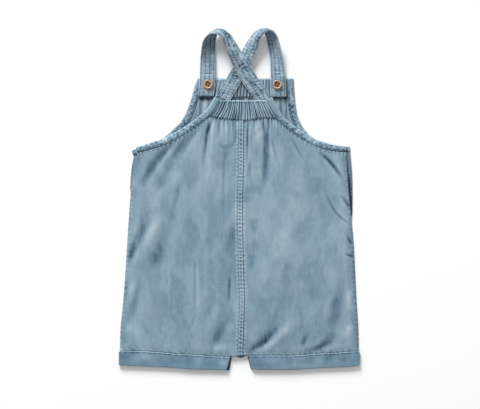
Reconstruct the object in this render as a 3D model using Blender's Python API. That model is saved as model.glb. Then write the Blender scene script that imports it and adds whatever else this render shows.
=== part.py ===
"""A small child's short overalls in washed blue chambray, laid flat on the front, so the back is up.

+X is to the right of the garment as it lies, +Y runs from the hems to the straps and +Z is up from the
surface.  The origin is on the surface, under the middle of the outline.  Sizes and tables here are in
millimetres; the meshes are made in metres.  Left and right are as seen from above.
"""
import math

import bmesh
import bpy
from mathutils import Vector

MM = 0.001

# ---- driving sizes ------------------------------------------------------------------------------
CLOTH = 1.1                 # one layer of chambray
SEAM_GAP = 0.3              # pieces that touch stay this far apart
BINDING_GAP = 0.55          # a panel's edge from the binding that takes it
CUFF_GAP = 0.8              # a panel's lower edge from the cuff
SEAM_X = 2.2                # the centre seams on average, a little right of the middle
SHIFT_Y = -1.5              # puts the middle of the outline on the origin
HEM_HALF_WIDTH = 164.8      # the panels' lower edge, from the middle to a side
PANEL_HEIGHT = 310.0        # from the hem to the casing, for fading the puff towards the edges
PANEL_HALF_WIDTH = 150.0
CROWN = 1.9                 # how far the back puffs up off the front
CROWN_REACH = 16.0          # from an edge in to where the puff is full
BACK_EDGE_Z = 1.4           # underside of the back where it lies on the front at the sides
BACK_TOP_Z = 3.3            # underside of the back where it is sewn to the casing and the bindings
HEM_Z = 2.7                 # underside of the back where the cuff takes it
EDGE_PUFF = 3.0             # the puff at an edge is as if this far in
EDGE_FOLD = 4.0             # and the folds as if this far in
EDGE_FOLD_REACH = 10.0      # from an edge in to where the folds are full
TOP_REACH = 9.0             # how far below its upper edge the back sinks or rises to meet it
TOP_SHARE_AT_CASING = 0.75  # how nearly it gets there under the casing
LIFT_REACH = 12.0           # how far below the bindings the back is held up by the front's
HEM_REACH = 8.0             # how far over the cuff the back sinks to meet it
CROTCH_OPEN = 8.0           # this far from the centre seam the back is free of the cuffs,
CROTCH_OPEN_REACH = 12.0    # and meets them over this distance

FELL_WIDTH = 7.2            # the felled seam down the middle of the back
FELL_THICK = 1.0
FELL_PROFILE = [
    # share of the half width, share of the thickness
    (-1.0, 0.6),
    (-0.6, 1.0),
    (0.0, 0.85),
    (0.6, 1.0),
    (1.0, 0.6),
]

BACK_CASING_RIBS = 23
BACK_CASING_THICK = 2.9
BACK_CASING_TOP_Z = 6.1     # underside of the casing at its top, over the strap ends
BACK_CASING_EDGE = 0.72     # its thickness at an edge, as a share
BACK_CASING_ROUND = 0.12    # how far from its foot, as a share, that is
BACK_CASING_DIP = 1.4       # its underside sinks this much between the strap ends
BACK_CASING_DIP_WIDTH = 0.14
FRONT_CASING_TOP_Y = 168.5
FRONT_CASING_FOOT_Y = 142.0
FRONT_CASING_RIBS = 30
FRONT_CASING_THICK = 3.4
FRONT_CASING_EDGE = 0.78
FRONT_CASING_ROUND = 0.15
RIB_UNEVENNESS = [
    # share of the casing's width, waves, phase
    (0.006, 37.0, 0.0),
    (0.004, 83.0, 1.0),
]
RIB_HEIGHT = 0.7
GATHER_HEIGHT = 1.0         # folds of the front below its casing
GATHER_REACH = 28.0         # how far down they run
GATHER_WAVES = 0.62         # their angle for each millimetre across
GATHER_PHASE = 0.4
GATHER_END = 0.5            # share of a half panel's width where they end,
GATHER_FADE = 0.1           # fading over this share

BACK_BINDING_WIDTH = 9.0
BACK_BINDING_THICK = 2.8
BACK_BINDING_Z = 3.0        # underside where it crosses the front's binding
FRONT_BINDING_WIDTH = 10.0
FRONT_BINDING_THICK = 2.6
PUCKER = 0.35               # the stitched part of a binding rises and sinks by this much
PUCKER_SPREAD = 0.4         # and widens by this share of it
BACK_BINDING_SMOOTH = 0.14  # share of a binding's length, from the strap, that is a smooth roll
FRONT_BINDING_SMOOTH = 0.05
BINDING_FADE = 0.06         # it turns puckered over this share
BINDING_TAPER = 0.2         # towards the side a binding gets narrower by this share
BINDING_TAPER_START = 0.8
BINDING_PROFILE = [
    # share of the half width, share of the thickness
    (-1.0, 0.3),
    (-0.8, 0.0),
    (0.8, 0.0),
    (1.0, 0.3),
    (0.92, 0.72),
    (0.45, 1.0),
    (-0.45, 1.0),
    (-0.92, 0.72),
]

STRAP_THICK = 1.8
BUTTONED_Z = 5.5            # middle of the straps' cloth where they lie buttoned on the front casing
BUTTON_RADIUS = 6.35
BUTTON_THICK = 2.8
BUTTON_PROFILE = [
    # radius, height: the underside, the rounded rim, then the dished middle
    (4.6, 0.0),
    (5.9, 0.5),
    (BUTTON_RADIUS, 1.4),
    (6.1, 2.3),
    (5.4, BUTTON_THICK),
    (4.6, 2.5),
    (3.8, 2.0),
]
BUTTON_SIDES = 28
BUTTON_HOLE_RADIUS = 0.95
BUTTON_HOLE_SIDES = 10
BUTTON_HOLE_SPREAD = 2.5    # from the button's middle to each hole
BUTTON_HOLE_TURN = 21.0     # degrees from +X to the first hole

CUFF_WALL = 2.0
CUFF_SLIT = 0.8             # between the cuff's two layers, where the leg goes in
CUFF_REACH = 166.0          # outer ends of the cuffs, from the middle
CUFF_BEND = 1.2             # how far the fold at the outer end rounds out
CUFF_LEFT_INNER = [
    # share of the height, inner end of the upper layer, of the lower one
    (0.0, -17.7, -13.4),
    (1.0, -12.4, -10.2),
]
CUFF_RIGHT_INNER = [
    (0.0, 17.2, 15.6),
    (1.0, 13.0, 11.6),
]
CUFF_WAVE = 0.25            # the upper layer rises and sinks by this much
CUFF_WAVES = 19.0
CUFF_LIP = 0.8              # how far the middle of the inner opening stands out
CUFF_INNER_SLANT = 1.8      # the lower layer's inner wall is cut back by this share of its depth
CROTCH_DIP = 4.2            # the front reaches this far below the back between the cuffs
CROTCH_HALF_WIDTH = 9.0

# ---- outlines -----------------------------------------------------------------------------------
# The sides, from the underarm to the cuffs.  The front reaches past the back below the right arm.
SIDES = [
    # height  back_left  back_right  front_left  front_right
    (64.0, -142.2, 146.8, -149.0, 153.6),
    (45.0, -145.8, 148.5, -150.2, 155.4),
    (10.0, -150.0, 151.3, -151.0, 155.9),
    (-25.0, -152.4, 154.6, -152.4, 155.8),
    (-60.0, -154.6, 157.8, -154.6, 157.8),
    (-137.0, -159.8, 161.6, -159.8, 161.6),
    (-172.0, -163.4, 164.0, -163.4, 164.0),
    (-208.0, -164.8, 164.8, -164.8, 164.8),
]
# The centre seam wanders a little from side to side on its way up.
SEAM = [
    # height  x
    (122.0, 3.0),
    (70.0, 2.5),
    (37.0, 2.1),
    (-6.0, 1.0),
    (-34.0, 1.2),
    (-63.0, 1.8),
    (-96.0, 2.5),
    (-137.0, 3.8),
    (-179.0, 2.5),
    (-212.0, 1.4),
]
# Lower edge of the panels, from the crotch to the outer end of the cuff, and the cuff's own fold.
LEFT_HEM = [
    # x      top_edge  fold
    (2.2, -213.2, -233.6),
    (-10.0, -215.2, -234.2),
    (-20.0, -215.4, -233.8),
    (-34.0, -214.8, -233.4),
    (-67.0, -212.4, -232.4),
    (-88.0, -211.2, -230.6),
    (-116.0, -208.6, -228.9),
    (-140.0, -207.6, -228.2),
    (-166.0, -208.2, -226.8),
]
RIGHT_HEM = [
    (2.2, -213.2, -231.0),
    (12.0, -213.8, -231.4),
    (18.0, -213.9, -232.0),
    (26.0, -213.8, -233.2),
    (49.0, -213.7, -233.2),
    (70.0, -213.7, -233.4),
    (91.0, -212.6, -232.2),
    (112.0, -210.8, -230.8),
    (132.0, -209.9, -230.0),
    (153.0, -208.3, -229.0),
    (166.0, -207.9, -226.8),
]
# Middle line of the back's armhole bindings, from the strap to the side, with their underside.
BACK_BINDING_LEFT = [
    # x      y      underside
    (-30.5, 140.5, 6.6),
    (-38.4, 126.5, 4.9),
    (-47.5, 117.0, 3.5),
    (-63.5, 104.4, 3.0),
    (-86.5, 90.0, 3.0),
    (-101.0, 82.4, 3.0),
    (-119.0, 76.2, 3.0),
    (-141.4, 70.0, 3.0),
]
BACK_BINDING_RIGHT = [
    (41.5, 140.5, 6.6),
    (46.4, 130.6, 5.4),
    (52.5, 120.0, 3.9),
    (58.5, 111.6, 3.2),
    (72.0, 100.6, 3.0),
    (88.5, 88.6, 3.0),
    (107.5, 79.0, 3.0),
    (125.0, 73.6, 3.0),
    (148.0, 71.0, 3.0),
]
# Outer edge of the front's armhole bindings, from the top of the bib to the side.
FRONT_BINDING_LEFT = [
    # x      y
    (-57.5, 169.0),
    (-62.0, 156.0),
    (-66.0, 142.0),
    (-71.5, 126.5),
    (-79.5, 110.5),
    (-92.0, 97.6),
    (-106.0, 86.2),
    (-124.0, 78.0),
    (-148.6, 70.2),
]
FRONT_BINDING_RIGHT = [
    (75.0, 168.6),
    (76.4, 147.0),
    (78.3, 127.8),
    (80.8, 116.8),
    (85.6, 105.7),
    (93.0, 94.7),
    (101.5, 86.4),
    (112.0, 79.6),
    (126.0, 75.2),
    (140.0, 75.0),
    (152.6, 75.6),
]
# Where the back casing's foot is sewn, between its two corners, from left to right.
BACK_CASING_SEAM = [
    # x      y
    (-17.0, 112.2),
    (1.0, 110.6),
    (13.5, 110.6),
    (33.0, 113.8),
]
CASING_CORNER_LEFT = 0.19   # the casing's lower corners, as shares of the bindings' lengths
CASING_CORNER_RIGHT = 0.215
CASING_SEAM_MIDDLE = 0.464  # where the centre seam meets the casing's foot, as a share of its length
BACK_CORNER_SHARE = 0.36    # the corner's place on the upper edge of a half of the back, from the seam
FRONT_CORNER_SHARE = 0.3    # and on the upper edge of a half of the front

# ---- folds of the back --------------------------------------------------------------------------
FOLD_CRISPNESS = 2.6        # 2 is a soft roll; more gives steeper sides and a flatter middle
FOLD_BEFORE = 0.06          # a fold begins this share of its run before its start,
FOLD_RISE = 0.16            # is at its full depth this share later,
FOLD_PAST = 0.14            # ends this share past its end
FOLD_FADE = 0.7             # and fades over this share before that
# Each is deepest near its start and fades towards its end, and is bowed sideways in the middle; the
# height is below zero for a trough.
FOLDS = [
    # start_x start_y end_x  end_y   bow  start_width end_width height
    (-36.8, 114.7, -51.0, 42.2, 2.4, 2.4, 3.2, -2.0),
    (-32.6, 110.0, -43.0, 31.0, 0.0, 4.5, 5.5, 1.0),
    (-19.6, 106.0, -18.4, 81.0, 0.0, 6.0, 6.5, 1.2),
    (-18.2, 73.5, -18.2, 24.0, 0.0, 5.5, 6.5, -0.9),
    (-54.0, 105.0, -68.0, 52.0, 0.0, 6.5, 8.0, 0.9),
    (-57.5, 103.5, -97.0, 45.0, 1.0, 3.6, 5.4, -2.6),
    (-94.0, 52.0, -127.0, -9.0, 0.0, 5.0, 6.5, -1.0),
    (-89.0, 85.0, -147.5, -5.0, 5.0, 3.4, 4.4, -2.0),
    (-84.0, 79.0, -148.0, -9.0, 3.5, 4.6, 5.4, 1.1),
    (-77.0, 42.0, -124.0, -9.0, 0.0, 6.0, 7.0, 0.9),
    (-78.5, 16.0, -86.0, -45.0, 0.0, 4.5, 6.0, 0.8),
    (-117.0, -89.0, -93.0, -22.0, 0.5, 4.8, 6.0, -1.8),
    (-152.5, -85.0, -122.0, -18.0, -2.0, 3.0, 4.6, -1.7),
    (-146.0, -97.0, -113.0, -24.0, 0.0, 5.0, 6.5, 1.2),
    (-153.0, -167.0, -137.0, -119.0, 0.0, 5.0, 6.5, -1.0),
    (-153.5, -176.0, -134.0, -195.0, 0.0, 8.0, 9.0, 0.9),
    (-51.0, -137.0, -61.5, -182.0, 0.0, 6.0, 7.0, 0.8),
    (-38.0, -200.0, -13.8, -152.0, 2.0, 3.4, 5.0, -2.4),
    (-8.6, -36.0, -15.5, -78.0, 0.0, 6.0, 6.5, -1.1),
    (23.4, 111.0, 24.0, 64.0, 0.0, 6.0, 6.5, 1.1),
    (37.0, 109.5, 32.2, 14.0, -2.9, 3.4, 5.0, -2.0),
    (55.0, 107.0, 62.0, 20.0, 0.0, 8.0, 9.0, 0.9),
    (140.2, 32.6, 100.5, 73.5, 3.2, 2.6, 2.8, -1.7),
    (97.0, 57.0, 128.0, 26.0, 0.0, 7.0, 8.0, 0.9),
    (18.4, -24.0, 19.2, -51.0, 0.0, 6.0, 6.0, -1.1),
    (17.7, -73.0, 15.0, -104.0, 0.0, 5.0, 5.0, -0.8),
    (64.0, -40.0, 16.0, -142.0, 0.0, 9.0, 8.0, 1.1),
    (68.7, -78.0, 61.0, -138.0, 0.0, 7.0, 6.0, -1.2),
    (20.0, -204.0, 62.5, -136.0, 8.0, 3.2, 6.0, -1.8),
    (12.5, -210.5, 53.0, -180.0, 0.0, 2.2, 4.6, -1.8),
    (36.0, -207.0, 93.6, -155.8, -2.7, 4.4, 8.0, 1.4),
    (100.0, -207.5, 131.5, -167.0, 9.0, 3.6, 6.0, -2.0),
    (130.5, -173.0, 140.5, -106.0, 0.0, 5.5, 4.2, -1.7),
    (144.0, -201.0, 153.0, -170.0, 0.0, 5.0, 6.0, 1.2),
]

# ---- straps -------------------------------------------------------------------------------------
# Each row is a section across a strap: the left and right edge of its walk from the buttoned end, and
# how far the cloth bellies out between them.  The walk goes up, turns standing on one edge, and comes
# back down across the other strap to its sewn end.
STRAP_LEFT = [
    # left x, y, z         right x, y, z          belly
    (-56.6, 143.4, 5.5, -34.6, 143.6, 5.5, 0.0),
    (-54.8, 166.0, 5.5, -33.4, 166.0, 5.5, 0.0),
    (-54.2, 180.0, 4.8, -33.0, 180.0, 4.4, 0.3),
    (-53.8, 193.0, 6.0, -32.8, 193.0, 3.0, 1.2),
    (-52.4, 205.1, 10.4, -32.6, 206.0, 2.2, 2.2),
    (-50.4, 216.8, 14.2, -32.2, 215.6, 2.2, 3.0),
    (-45.8, 224.6, 17.0, -31.4, 224.4, 2.4, 3.8),
    (-38.9, 228.6, 18.8, -28.2, 231.4, 3.4, 4.4),
    (-30.8, 227.6, 19.4, -21.2, 234.2, 5.8, 4.4),
    (-25.0, 222.2, 18.4, -13.6, 229.4, 8.2, 3.6),
    (-21.5, 214.8, 16.6, -7.2, 221.0, 9.2, 2.6),
    (-17.1, 204.0, 14.2, 0.0, 209.6, 9.6, 1.6),
    (-11.5, 191.1, 11.6, 7.4, 198.2, 9.4, 0.7),
    (-5.2, 178.8, 9.0, 14.3, 186.9, 8.9, 0.2),
    (2.6, 165.1, 7.9, 22.5, 174.0, 8.0, 0.0),
    (10.4, 153.8, 6.9, 30.3, 162.1, 6.9, 0.0),
    (17.0, 145.4, 5.6, 37.6, 152.2, 5.8, 0.0),
    (22.4, 137.4, 4.3, 42.0, 142.2, 5.2, 0.0),
    (25.0, 131.6, 3.6, 44.2, 135.2, 4.2, 0.0),
]
STRAP_RIGHT = [
    (43.4, 142.6, 5.5, 64.4, 142.8, 5.5, 0.0),
    (43.2, 166.0, 5.5, 63.8, 166.0, 5.5, 0.0),
    (43.0, 179.0, 4.4, 62.6, 179.0, 4.8, 0.3),
    (42.6, 192.0, 3.0, 60.8, 191.5, 6.6, 1.2),
    (41.4, 204.0, 2.2, 58.1, 203.1, 11.0, 2.6),
    (39.4, 215.0, 2.2, 55.7, 213.8, 14.4, 3.0),
    (37.0, 225.0, 2.4, 52.4, 224.6, 16.2, 3.0),
    (34.4, 231.5, 2.8, 46.9, 232.1, 17.2, 2.6),
    (31.0, 234.9, 3.4, 40.1, 233.2, 17.6, 2.4),
    (26.2, 234.9, 4.2, 34.6, 229.3, 17.0, 3.0),
    (20.0, 230.3, 4.8, 30.8, 224.1, 15.4, 3.4),
    (13.6, 222.4, 5.2, 27.3, 216.9, 12.8, 2.8),
    (7.0, 211.4, 5.4, 23.9, 205.8, 9.8, 1.6),
    (-0.2, 198.6, 5.5, 18.9, 193.1, 6.9, 0.6),
    (-7.8, 185.2, 5.5, 12.2, 180.4, 5.6, 0.1),
    (-16.4, 170.8, 5.5, 3.6, 165.4, 5.5, 0.0),
    (-24.8, 156.6, 5.5, -4.6, 151.0, 5.5, 0.0),
    (-31.4, 145.6, 5.5, -10.6, 141.2, 5.3, 0.0),
    (-36.6, 136.4, 4.3, -15.6, 133.0, 4.2, 0.0),
    (-38.4, 132.6, 3.8, -17.2, 129.4, 3.7, 0.0),
]
BUTTONS = [
    # x     y
    (-43.0, 160.0),
    (52.2, 159.6),
]

# ---- how finely the pieces are drawn ------------------------------------------------------------
BACK_COLUMNS, BACK_ROWS = 22, 26
FRONT_COLUMNS, FRONT_ROWS = 19, 17
CASING_POINTS_PER_RIB = 3
CASING_ROWS = 5
BINDING_STATIONS = 35
STRAP_STATIONS = 46
STRAP_ACROSS = 5
CUFF_POINTS = 15            # along each flat of a cuff
CUFF_ROWS = 4


# ---- small tools --------------------------------------------------------------------------------
def smooth_step(value):
    value = min(1.0, max(0.0, value))
    return value * value * (3.0 - 2.0 * value)


def read_smoothly(keys, values, at):
    """A smooth curve through the values, read at one key; held still past its ends."""
    if at <= keys[0]:
        return values[0]
    if at >= keys[-1]:
        return values[-1]
    i = max(n for n in range(len(keys) - 1) if keys[n] <= at)

    def slope(n):
        a, b = max(0, n - 1), min(len(keys) - 1, n + 1)
        return (values[b] - values[a]) / (keys[b] - keys[a])

    step = keys[i + 1] - keys[i]
    t = (at - keys[i]) / step
    return (
        values[i] * (2 * t**3 - 3 * t**2 + 1)
        + slope(i) * step * (t**3 - 2 * t**2 + t)
        + values[i + 1] * (3 * t**2 - 2 * t**3)
        + slope(i + 1) * step * (t**3 - t**2)
    )


def read_table(rows, column, at):
    """One column of a table whose first column rises or falls steadily."""
    ordered = sorted(rows)
    return read_smoothly([r[0] for r in ordered], [r[column] for r in ordered], at)


class Line:
    """A smooth line through a table's rows, read from 0 at its start to 1 at its end."""

    def __init__(self, rows, length_columns=(0, 1)):
        lengths = [0.0]
        for before, after in zip(rows, rows[1:]):
            lengths.append(lengths[-1] + math.dist(
                [before[c] for c in length_columns], [after[c] for c in length_columns]))
        self.rows = rows
        self.length = lengths[-1]
        self.keys = [v / self.length for v in lengths]

    def at(self, u):
        return [read_smoothly(self.keys, [r[c] for r in self.rows], u) for c in range(len(self.rows[0]))]

    def beside(self, u, offset):
        """The point that lies offset to the left of the line's walk."""
        x, y = self.at(u)[:2]
        x0, y0 = self.at(max(0.0, u - 0.01))[:2]
        x1, y1 = self.at(min(1.0, u + 0.01))[:2]
        run = math.hypot(x1 - x0, y1 - y0)
        return x - (y1 - y0) / run * offset, y + (x1 - x0) / run * offset


def colour(red, green, blue):
    """A shade given as it is seen, 0 to 255, for a shader's colour socket."""
    def linear(level):
        level /= 255.0
        return level / 12.92 if level <= 0.04045 else ((level + 0.055) / 1.055) ** 2.4
    return linear(red), linear(green), linear(blue), 1.0


def material(name, shade, roughness):
    made = bpy.data.materials.new(name)
    made.use_nodes = True
    shader = made.node_tree.nodes["Principled BSDF"]
    shader.inputs["Base Color"].default_value = shade
    shader.inputs["Roughness"].default_value = roughness
    shader.inputs["Metallic"].default_value = 0.0
    return made


def make_object(name, bm, finish):
    """Turn a closed bmesh in millimetres into a named object in metres."""
    bmesh.ops.recalc_face_normals(bm, faces=bm.faces)
    bmesh.ops.translate(bm, vec=(0.0, SHIFT_Y, 0.0), verts=bm.verts)
    bmesh.ops.scale(bm, vec=(MM, MM, MM), verts=bm.verts)
    mesh = bpy.data.meshes.new(name)
    bm.to_mesh(mesh)
    bm.free()
    mesh.materials.append(finish)
    mesh.shade_smooth()
    mesh.set_sharp_from_angle(angle=math.radians(50))
    made = bpy.data.objects.new(name, mesh)
    bpy.context.scene.collection.objects.link(made)
    return made


def add_grid(bm, grid, round_rows=False):
    """Faces between a grid's neighbours; round_rows joins each row's end to its start."""
    points = [[bm.verts.new(p) for p in row] for row in grid]
    for low, high in zip(points, points[1:]):
        count = len(low)
        for i in range(count if round_rows else count - 1):
            j = (i + 1) % count
            bm.faces.new((low[i], low[j], high[j], high[i]))
    return points


def make_slab(name, top, bottom, finish):
    """A closed wall between two grids of the same size."""
    bm = bmesh.new()
    upper, lower = add_grid(bm, top), add_grid(bm, bottom)

    def rim(points):
        return (points[0][:-1] + [row[-1] for row in points[:-1]]
                + points[-1][:0:-1] + [row[0] for row in points[:0:-1]])

    over, under = rim(upper), rim(lower)
    for i in range(len(over)):
        j = (i + 1) % len(over)
        bm.faces.new((over[i], over[j], under[j], under[i]))
    return make_object(name, bm, finish)


def make_sweep(name, rings, finish):
    """A closed bar through rings of points, with a face on each end."""
    bm = bmesh.new()
    points = add_grid(bm, rings, round_rows=True)
    bm.faces.new(points[0])
    bm.faces.new(points[-1][::-1])
    return make_object(name, bm, finish)


# ---- the back -----------------------------------------------------------------------------------
def fold_height(x, y):
    """How far the back's folds raise or sink the cloth at a place."""
    total = 0.0
    for start_x, start_y, end_x, end_y, bow, start_width, end_width, height in FOLDS:
        run_x, run_y = end_x - start_x, end_y - start_y
        run = math.hypot(run_x, run_y)
        along = ((x - start_x) * run_x + (y - start_y) * run_y) / run**2
        if not -FOLD_BEFORE < along < 1.0 + FOLD_PAST:
            continue
        aside = ((x - start_x) * run_y - (y - start_y) * run_x) / run
        aside -= bow * (1.0 - (2.0 * along - 1.0) ** 2)
        width = start_width + (end_width - start_width) * min(1.0, max(0.0, along))
        ends = smooth_step((along + FOLD_BEFORE) / FOLD_RISE)
        ends *= smooth_step((1.0 + FOLD_PAST - along) / FOLD_FADE)
        total += height * ends * math.exp(-abs(aside / width) ** FOLD_CRISPNESS)
    return total


def back_binding(side):
    return Line(BACK_BINDING_LEFT if side < 0 else BACK_BINDING_RIGHT)


def hem(side):
    return LEFT_HEM if side < 0 else RIGHT_HEM


def casing_corner(side):
    """Where the back casing's foot meets a binding, and how far along the binding that is."""
    u = CASING_CORNER_LEFT if side < 0 else CASING_CORNER_RIGHT
    beside = BACK_BINDING_WIDTH / 2.0 + BINDING_GAP
    return back_binding(side).beside(u, -side * beside), u


def casing_seam():
    return Line([casing_corner(-1)[0]] + BACK_CASING_SEAM + [casing_corner(1)[0]])


def back_top_edge(side, s):
    """The back's upper edge from the centre seam (s = 0) past the casing's corner to the side (s = 1)."""
    if s <= BACK_CORNER_SHARE:
        end = 0.0 if side < 0 else 1.0
        along = CASING_SEAM_MIDDLE + (end - CASING_SEAM_MIDDLE) * s / BACK_CORNER_SHARE
        x, y = casing_seam().at(along)
        return x, y - SEAM_GAP
    corner_u = casing_corner(side)[1]
    u = corner_u + (1.0 - corner_u) * (s - BACK_CORNER_SHARE) / (1.0 - BACK_CORNER_SHARE)
    return back_binding(side).beside(u, -side * (BACK_BINDING_WIDTH / 2.0 + BINDING_GAP))


def panel_point(side, s, t, top_edge, side_column):
    """A place on a half panel: s from the centre seam to the side, t from the hem to the top."""
    def ruled(s):
        top_x, top_y = top_edge(side, s)
        foot_x = SEAM_X + side * (s * (HEM_HALF_WIDTH - side * SEAM_X) + SEAM_GAP / 2.0)
        foot_y = read_table(hem(side), 1, foot_x) + CUFF_GAP
        return foot_x + (top_x - foot_x) * t, foot_y + (top_y - foot_y) * t

    x, y = ruled(s)
    edge_x, edge_y = ruled(1.0)
    true_edge = read_table(SIDES, side_column, edge_y)
    seam_x, seam_y = ruled(0.0)
    true_seam = read_table(SEAM, 1, seam_y) + side * SEAM_GAP / 2.0
    below_top = 1.0 - t**12
    return x + (true_edge - edge_x) * s**3 * below_top + (true_seam - seam_x) * (1.0 - s) ** 6, y


def back_underside(side, s, t, x, y):
    """Height of the back's lower face over the surface."""
    from_side = (1.0 - s) * PANEL_HALF_WIDTH
    from_top = (1.0 - t) * PANEL_HEIGHT
    from_foot = t * PANEL_HEIGHT
    under_casing = s < BACK_CORNER_SHARE
    puff = CROWN * smooth_step((from_side + EDGE_PUFF) / CROWN_REACH)
    puff += fold_height(x, y) * smooth_step((from_side + EDGE_FOLD) / EDGE_FOLD_REACH)
    at_top = math.exp(-((from_top / TOP_REACH) ** 2))
    at_foot = math.exp(-((from_foot / HEM_REACH) ** 2))
    at_foot *= smooth_step((abs(x - SEAM_X) - CROTCH_OPEN) / CROTCH_OPEN_REACH)
    level = BACK_EDGE_Z + puff
    level += (BACK_TOP_Z - level) * at_top * (TOP_SHARE_AT_CASING if under_casing else 1.0)
    level += (HEM_Z - level) * at_foot
    lift_over_binding = (BACK_BINDING_Z - BACK_EDGE_Z) * math.exp(-((from_top / LIFT_REACH) ** 2))
    return max(level, BACK_EDGE_Z + (0.0 if under_casing else lift_over_binding))


def graded(count, near_end):
    """Steps from 0 to 1 that get closer towards 1."""
    return [1.0 - (1.0 - i / (count - 1)) ** near_end for i in range(count)]


def back_grid(side):
    """Lower and upper face of a half of the back."""
    columns = [i / (BACK_COLUMNS - 1) for i in range(BACK_COLUMNS)]
    column = 1 if side < 0 else 2
    lower, upper = [], []
    for t in graded(BACK_ROWS, 1.35):
        low_row, high_row = [], []
        for s in columns:
            x, y = panel_point(side, s, t, back_top_edge, column)
            z = back_underside(side, s, t, x, y)
            low_row.append((x, y, z))
            high_row.append((x, y, z + CLOTH))
        lower.append(low_row)
        upper.append(high_row)
    return lower, upper


def make_back(side, finish):
    lower, upper = back_grid(side)
    return make_slab("back_left" if side < 0 else "back_right", upper, lower, finish)


def make_back_seam(finish):
    """The felled seam, laid on the points of both halves along the middle."""
    halves = {side: back_grid(side)[1] for side in (-1, 1)}
    half = FELL_WIDTH / 2.0
    lower, upper = [], []
    for left_row, right_row in zip(halves[-1], halves[1]):
        low_row, high_row = [], []
        for across, height in FELL_PROFILE:
            offset = across * half
            near, far = (left_row if offset < 0 else right_row)[:2]
            share = max(0.0, (abs(offset) - SEAM_GAP / 2.0) / abs(far[0] - near[0]))
            x = read_table(SEAM, 1, near[1]) + offset
            y = near[1] + (far[1] - near[1]) * share
            z = near[2] + (far[2] - near[2]) * share + SEAM_GAP
            low_row.append((x, y, z))
            high_row.append((x, y, z + FELL_THICK * height))
        lower.append(low_row)
        upper.append(high_row)
    return make_slab("back_seam", upper, lower, finish)


def rib(position, count):
    """A row of gathers, a little uneven, as a height from 0 to 1."""
    uneven = position
    for size, waves, phase in RIB_UNEVENNESS:
        uneven += size * math.sin(position * waves + phase)
    return 0.5 + 0.5 * math.cos(2.0 * math.pi * count * uneven)


def rounded(t, edge, start):
    """A casing's thickness from its foot to its top, as a share of the full one in its middle."""
    return edge + (1.0 - edge) * math.sin(math.pi * min(t + start, 1.0))


def make_back_casing(finish):
    """A patch between the seam, the two bindings and the casing's own top edge."""
    seam = casing_seam()
    beside = BACK_BINDING_WIDTH / 2.0 + BINDING_GAP

    def end(side, t):
        corner_u = casing_corner(side)[1]
        return Vector(back_binding(side).beside(corner_u * (1.0 - t), -side * beside))

    points = BACK_CASING_RIBS * CASING_POINTS_PER_RIB + 1
    lower, upper = [], []
    for row in range(CASING_ROWS):
        t = row / (CASING_ROWS - 1)
        low_row, high_row = [], []
        for i in range(points):
            s = i / (points - 1)
            foot, top = Vector(seam.at(s)), end(-1, 1.0).lerp(end(1, 1.0), s)
            place = foot.lerp(top, t) + (end(-1, t) - end(-1, 0.0).lerp(end(-1, 1.0), t)) * (1.0 - s)
            place += (end(1, t) - end(1, 0.0).lerp(end(1, 1.0), t)) * s
            between_straps = math.exp(-(((s - 0.5) / BACK_CASING_DIP_WIDTH) ** 2))
            low = BACK_TOP_Z + (BACK_CASING_TOP_Z - BACK_TOP_Z) * t
            low -= BACK_CASING_DIP * between_straps * t
            thick = BACK_CASING_THICK * rounded(t, BACK_CASING_EDGE, BACK_CASING_ROUND)
            low_row.append((place.x, place.y, low))
            ribbed = RIB_HEIGHT * (2.0 * rib(s, BACK_CASING_RIBS) - 1.0)
            high_row.append((place.x, place.y, low + thick + ribbed))
        lower.append(low_row)
        upper.append(high_row)
    return make_slab("back_casing", upper, lower, finish)


# ---- the front ----------------------------------------------------------------------------------
def front_binding(side):
    return Line(FRONT_BINDING_LEFT if side < 0 else FRONT_BINDING_RIGHT)


def front_inner_edge(side, u):
    return front_binding(side).beside(u, -side * (FRONT_BINDING_WIDTH + BINDING_GAP))


def front_edge_at(side, height):
    """The place on the front binding's inner edge at a height, and how far along the binding it is."""
    low, high = 0.0, 0.6
    for _ in range(24):
        middle = (low + high) / 2.0
        if front_inner_edge(side, middle)[1] > height:
            low = middle
        else:
            high = middle
    return front_inner_edge(side, low), low


def front_top_edge(side, s):
    """The front's upper edge from the middle (s = 0) past the casing's corner to the side (s = 1)."""
    (corner_x, corner_y), corner_u = front_edge_at(side, FRONT_CASING_FOOT_Y - SEAM_GAP)
    if s <= FRONT_CORNER_SHARE:
        return SEAM_X + (corner_x - SEAM_X) * s / FRONT_CORNER_SHARE, corner_y
    u = corner_u + (1.0 - corner_u) * (s - FRONT_CORNER_SHARE) / (1.0 - FRONT_CORNER_SHARE)
    return front_inner_edge(side, u)


def make_front(side, finish):
    """A half of the front: flat where it lies on the surface, gathered below the casing."""
    column = 3 if side < 0 else 4
    lower, upper = [], []
    for t in graded(FRONT_ROWS, 1.6):
        low_row, high_row = [], []
        for i in range(FRONT_COLUMNS):
            s = i / (FRONT_COLUMNS - 1)
            x, y = panel_point(side, s, t, front_top_edge, column)
            gather = math.exp(-((FRONT_CASING_FOOT_Y - y) / GATHER_REACH) ** 2)
            gather *= smooth_step((GATHER_END - s) / GATHER_FADE)
            ridge = 0.5 + 0.5 * math.sin(x * GATHER_WAVES + GATHER_PHASE)
            if t == 0.0:
                y -= CROTCH_DIP * smooth_step(1.0 - abs(x - SEAM_X) / CROTCH_HALF_WIDTH)
            low_row.append((x, y, 0.0))
            high_row.append((x, y, CLOTH + GATHER_HEIGHT * gather * ridge))
        lower.append(low_row)
        upper.append(high_row)
    return make_slab("front_left" if side < 0 else "front_right", upper, lower, finish)


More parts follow.
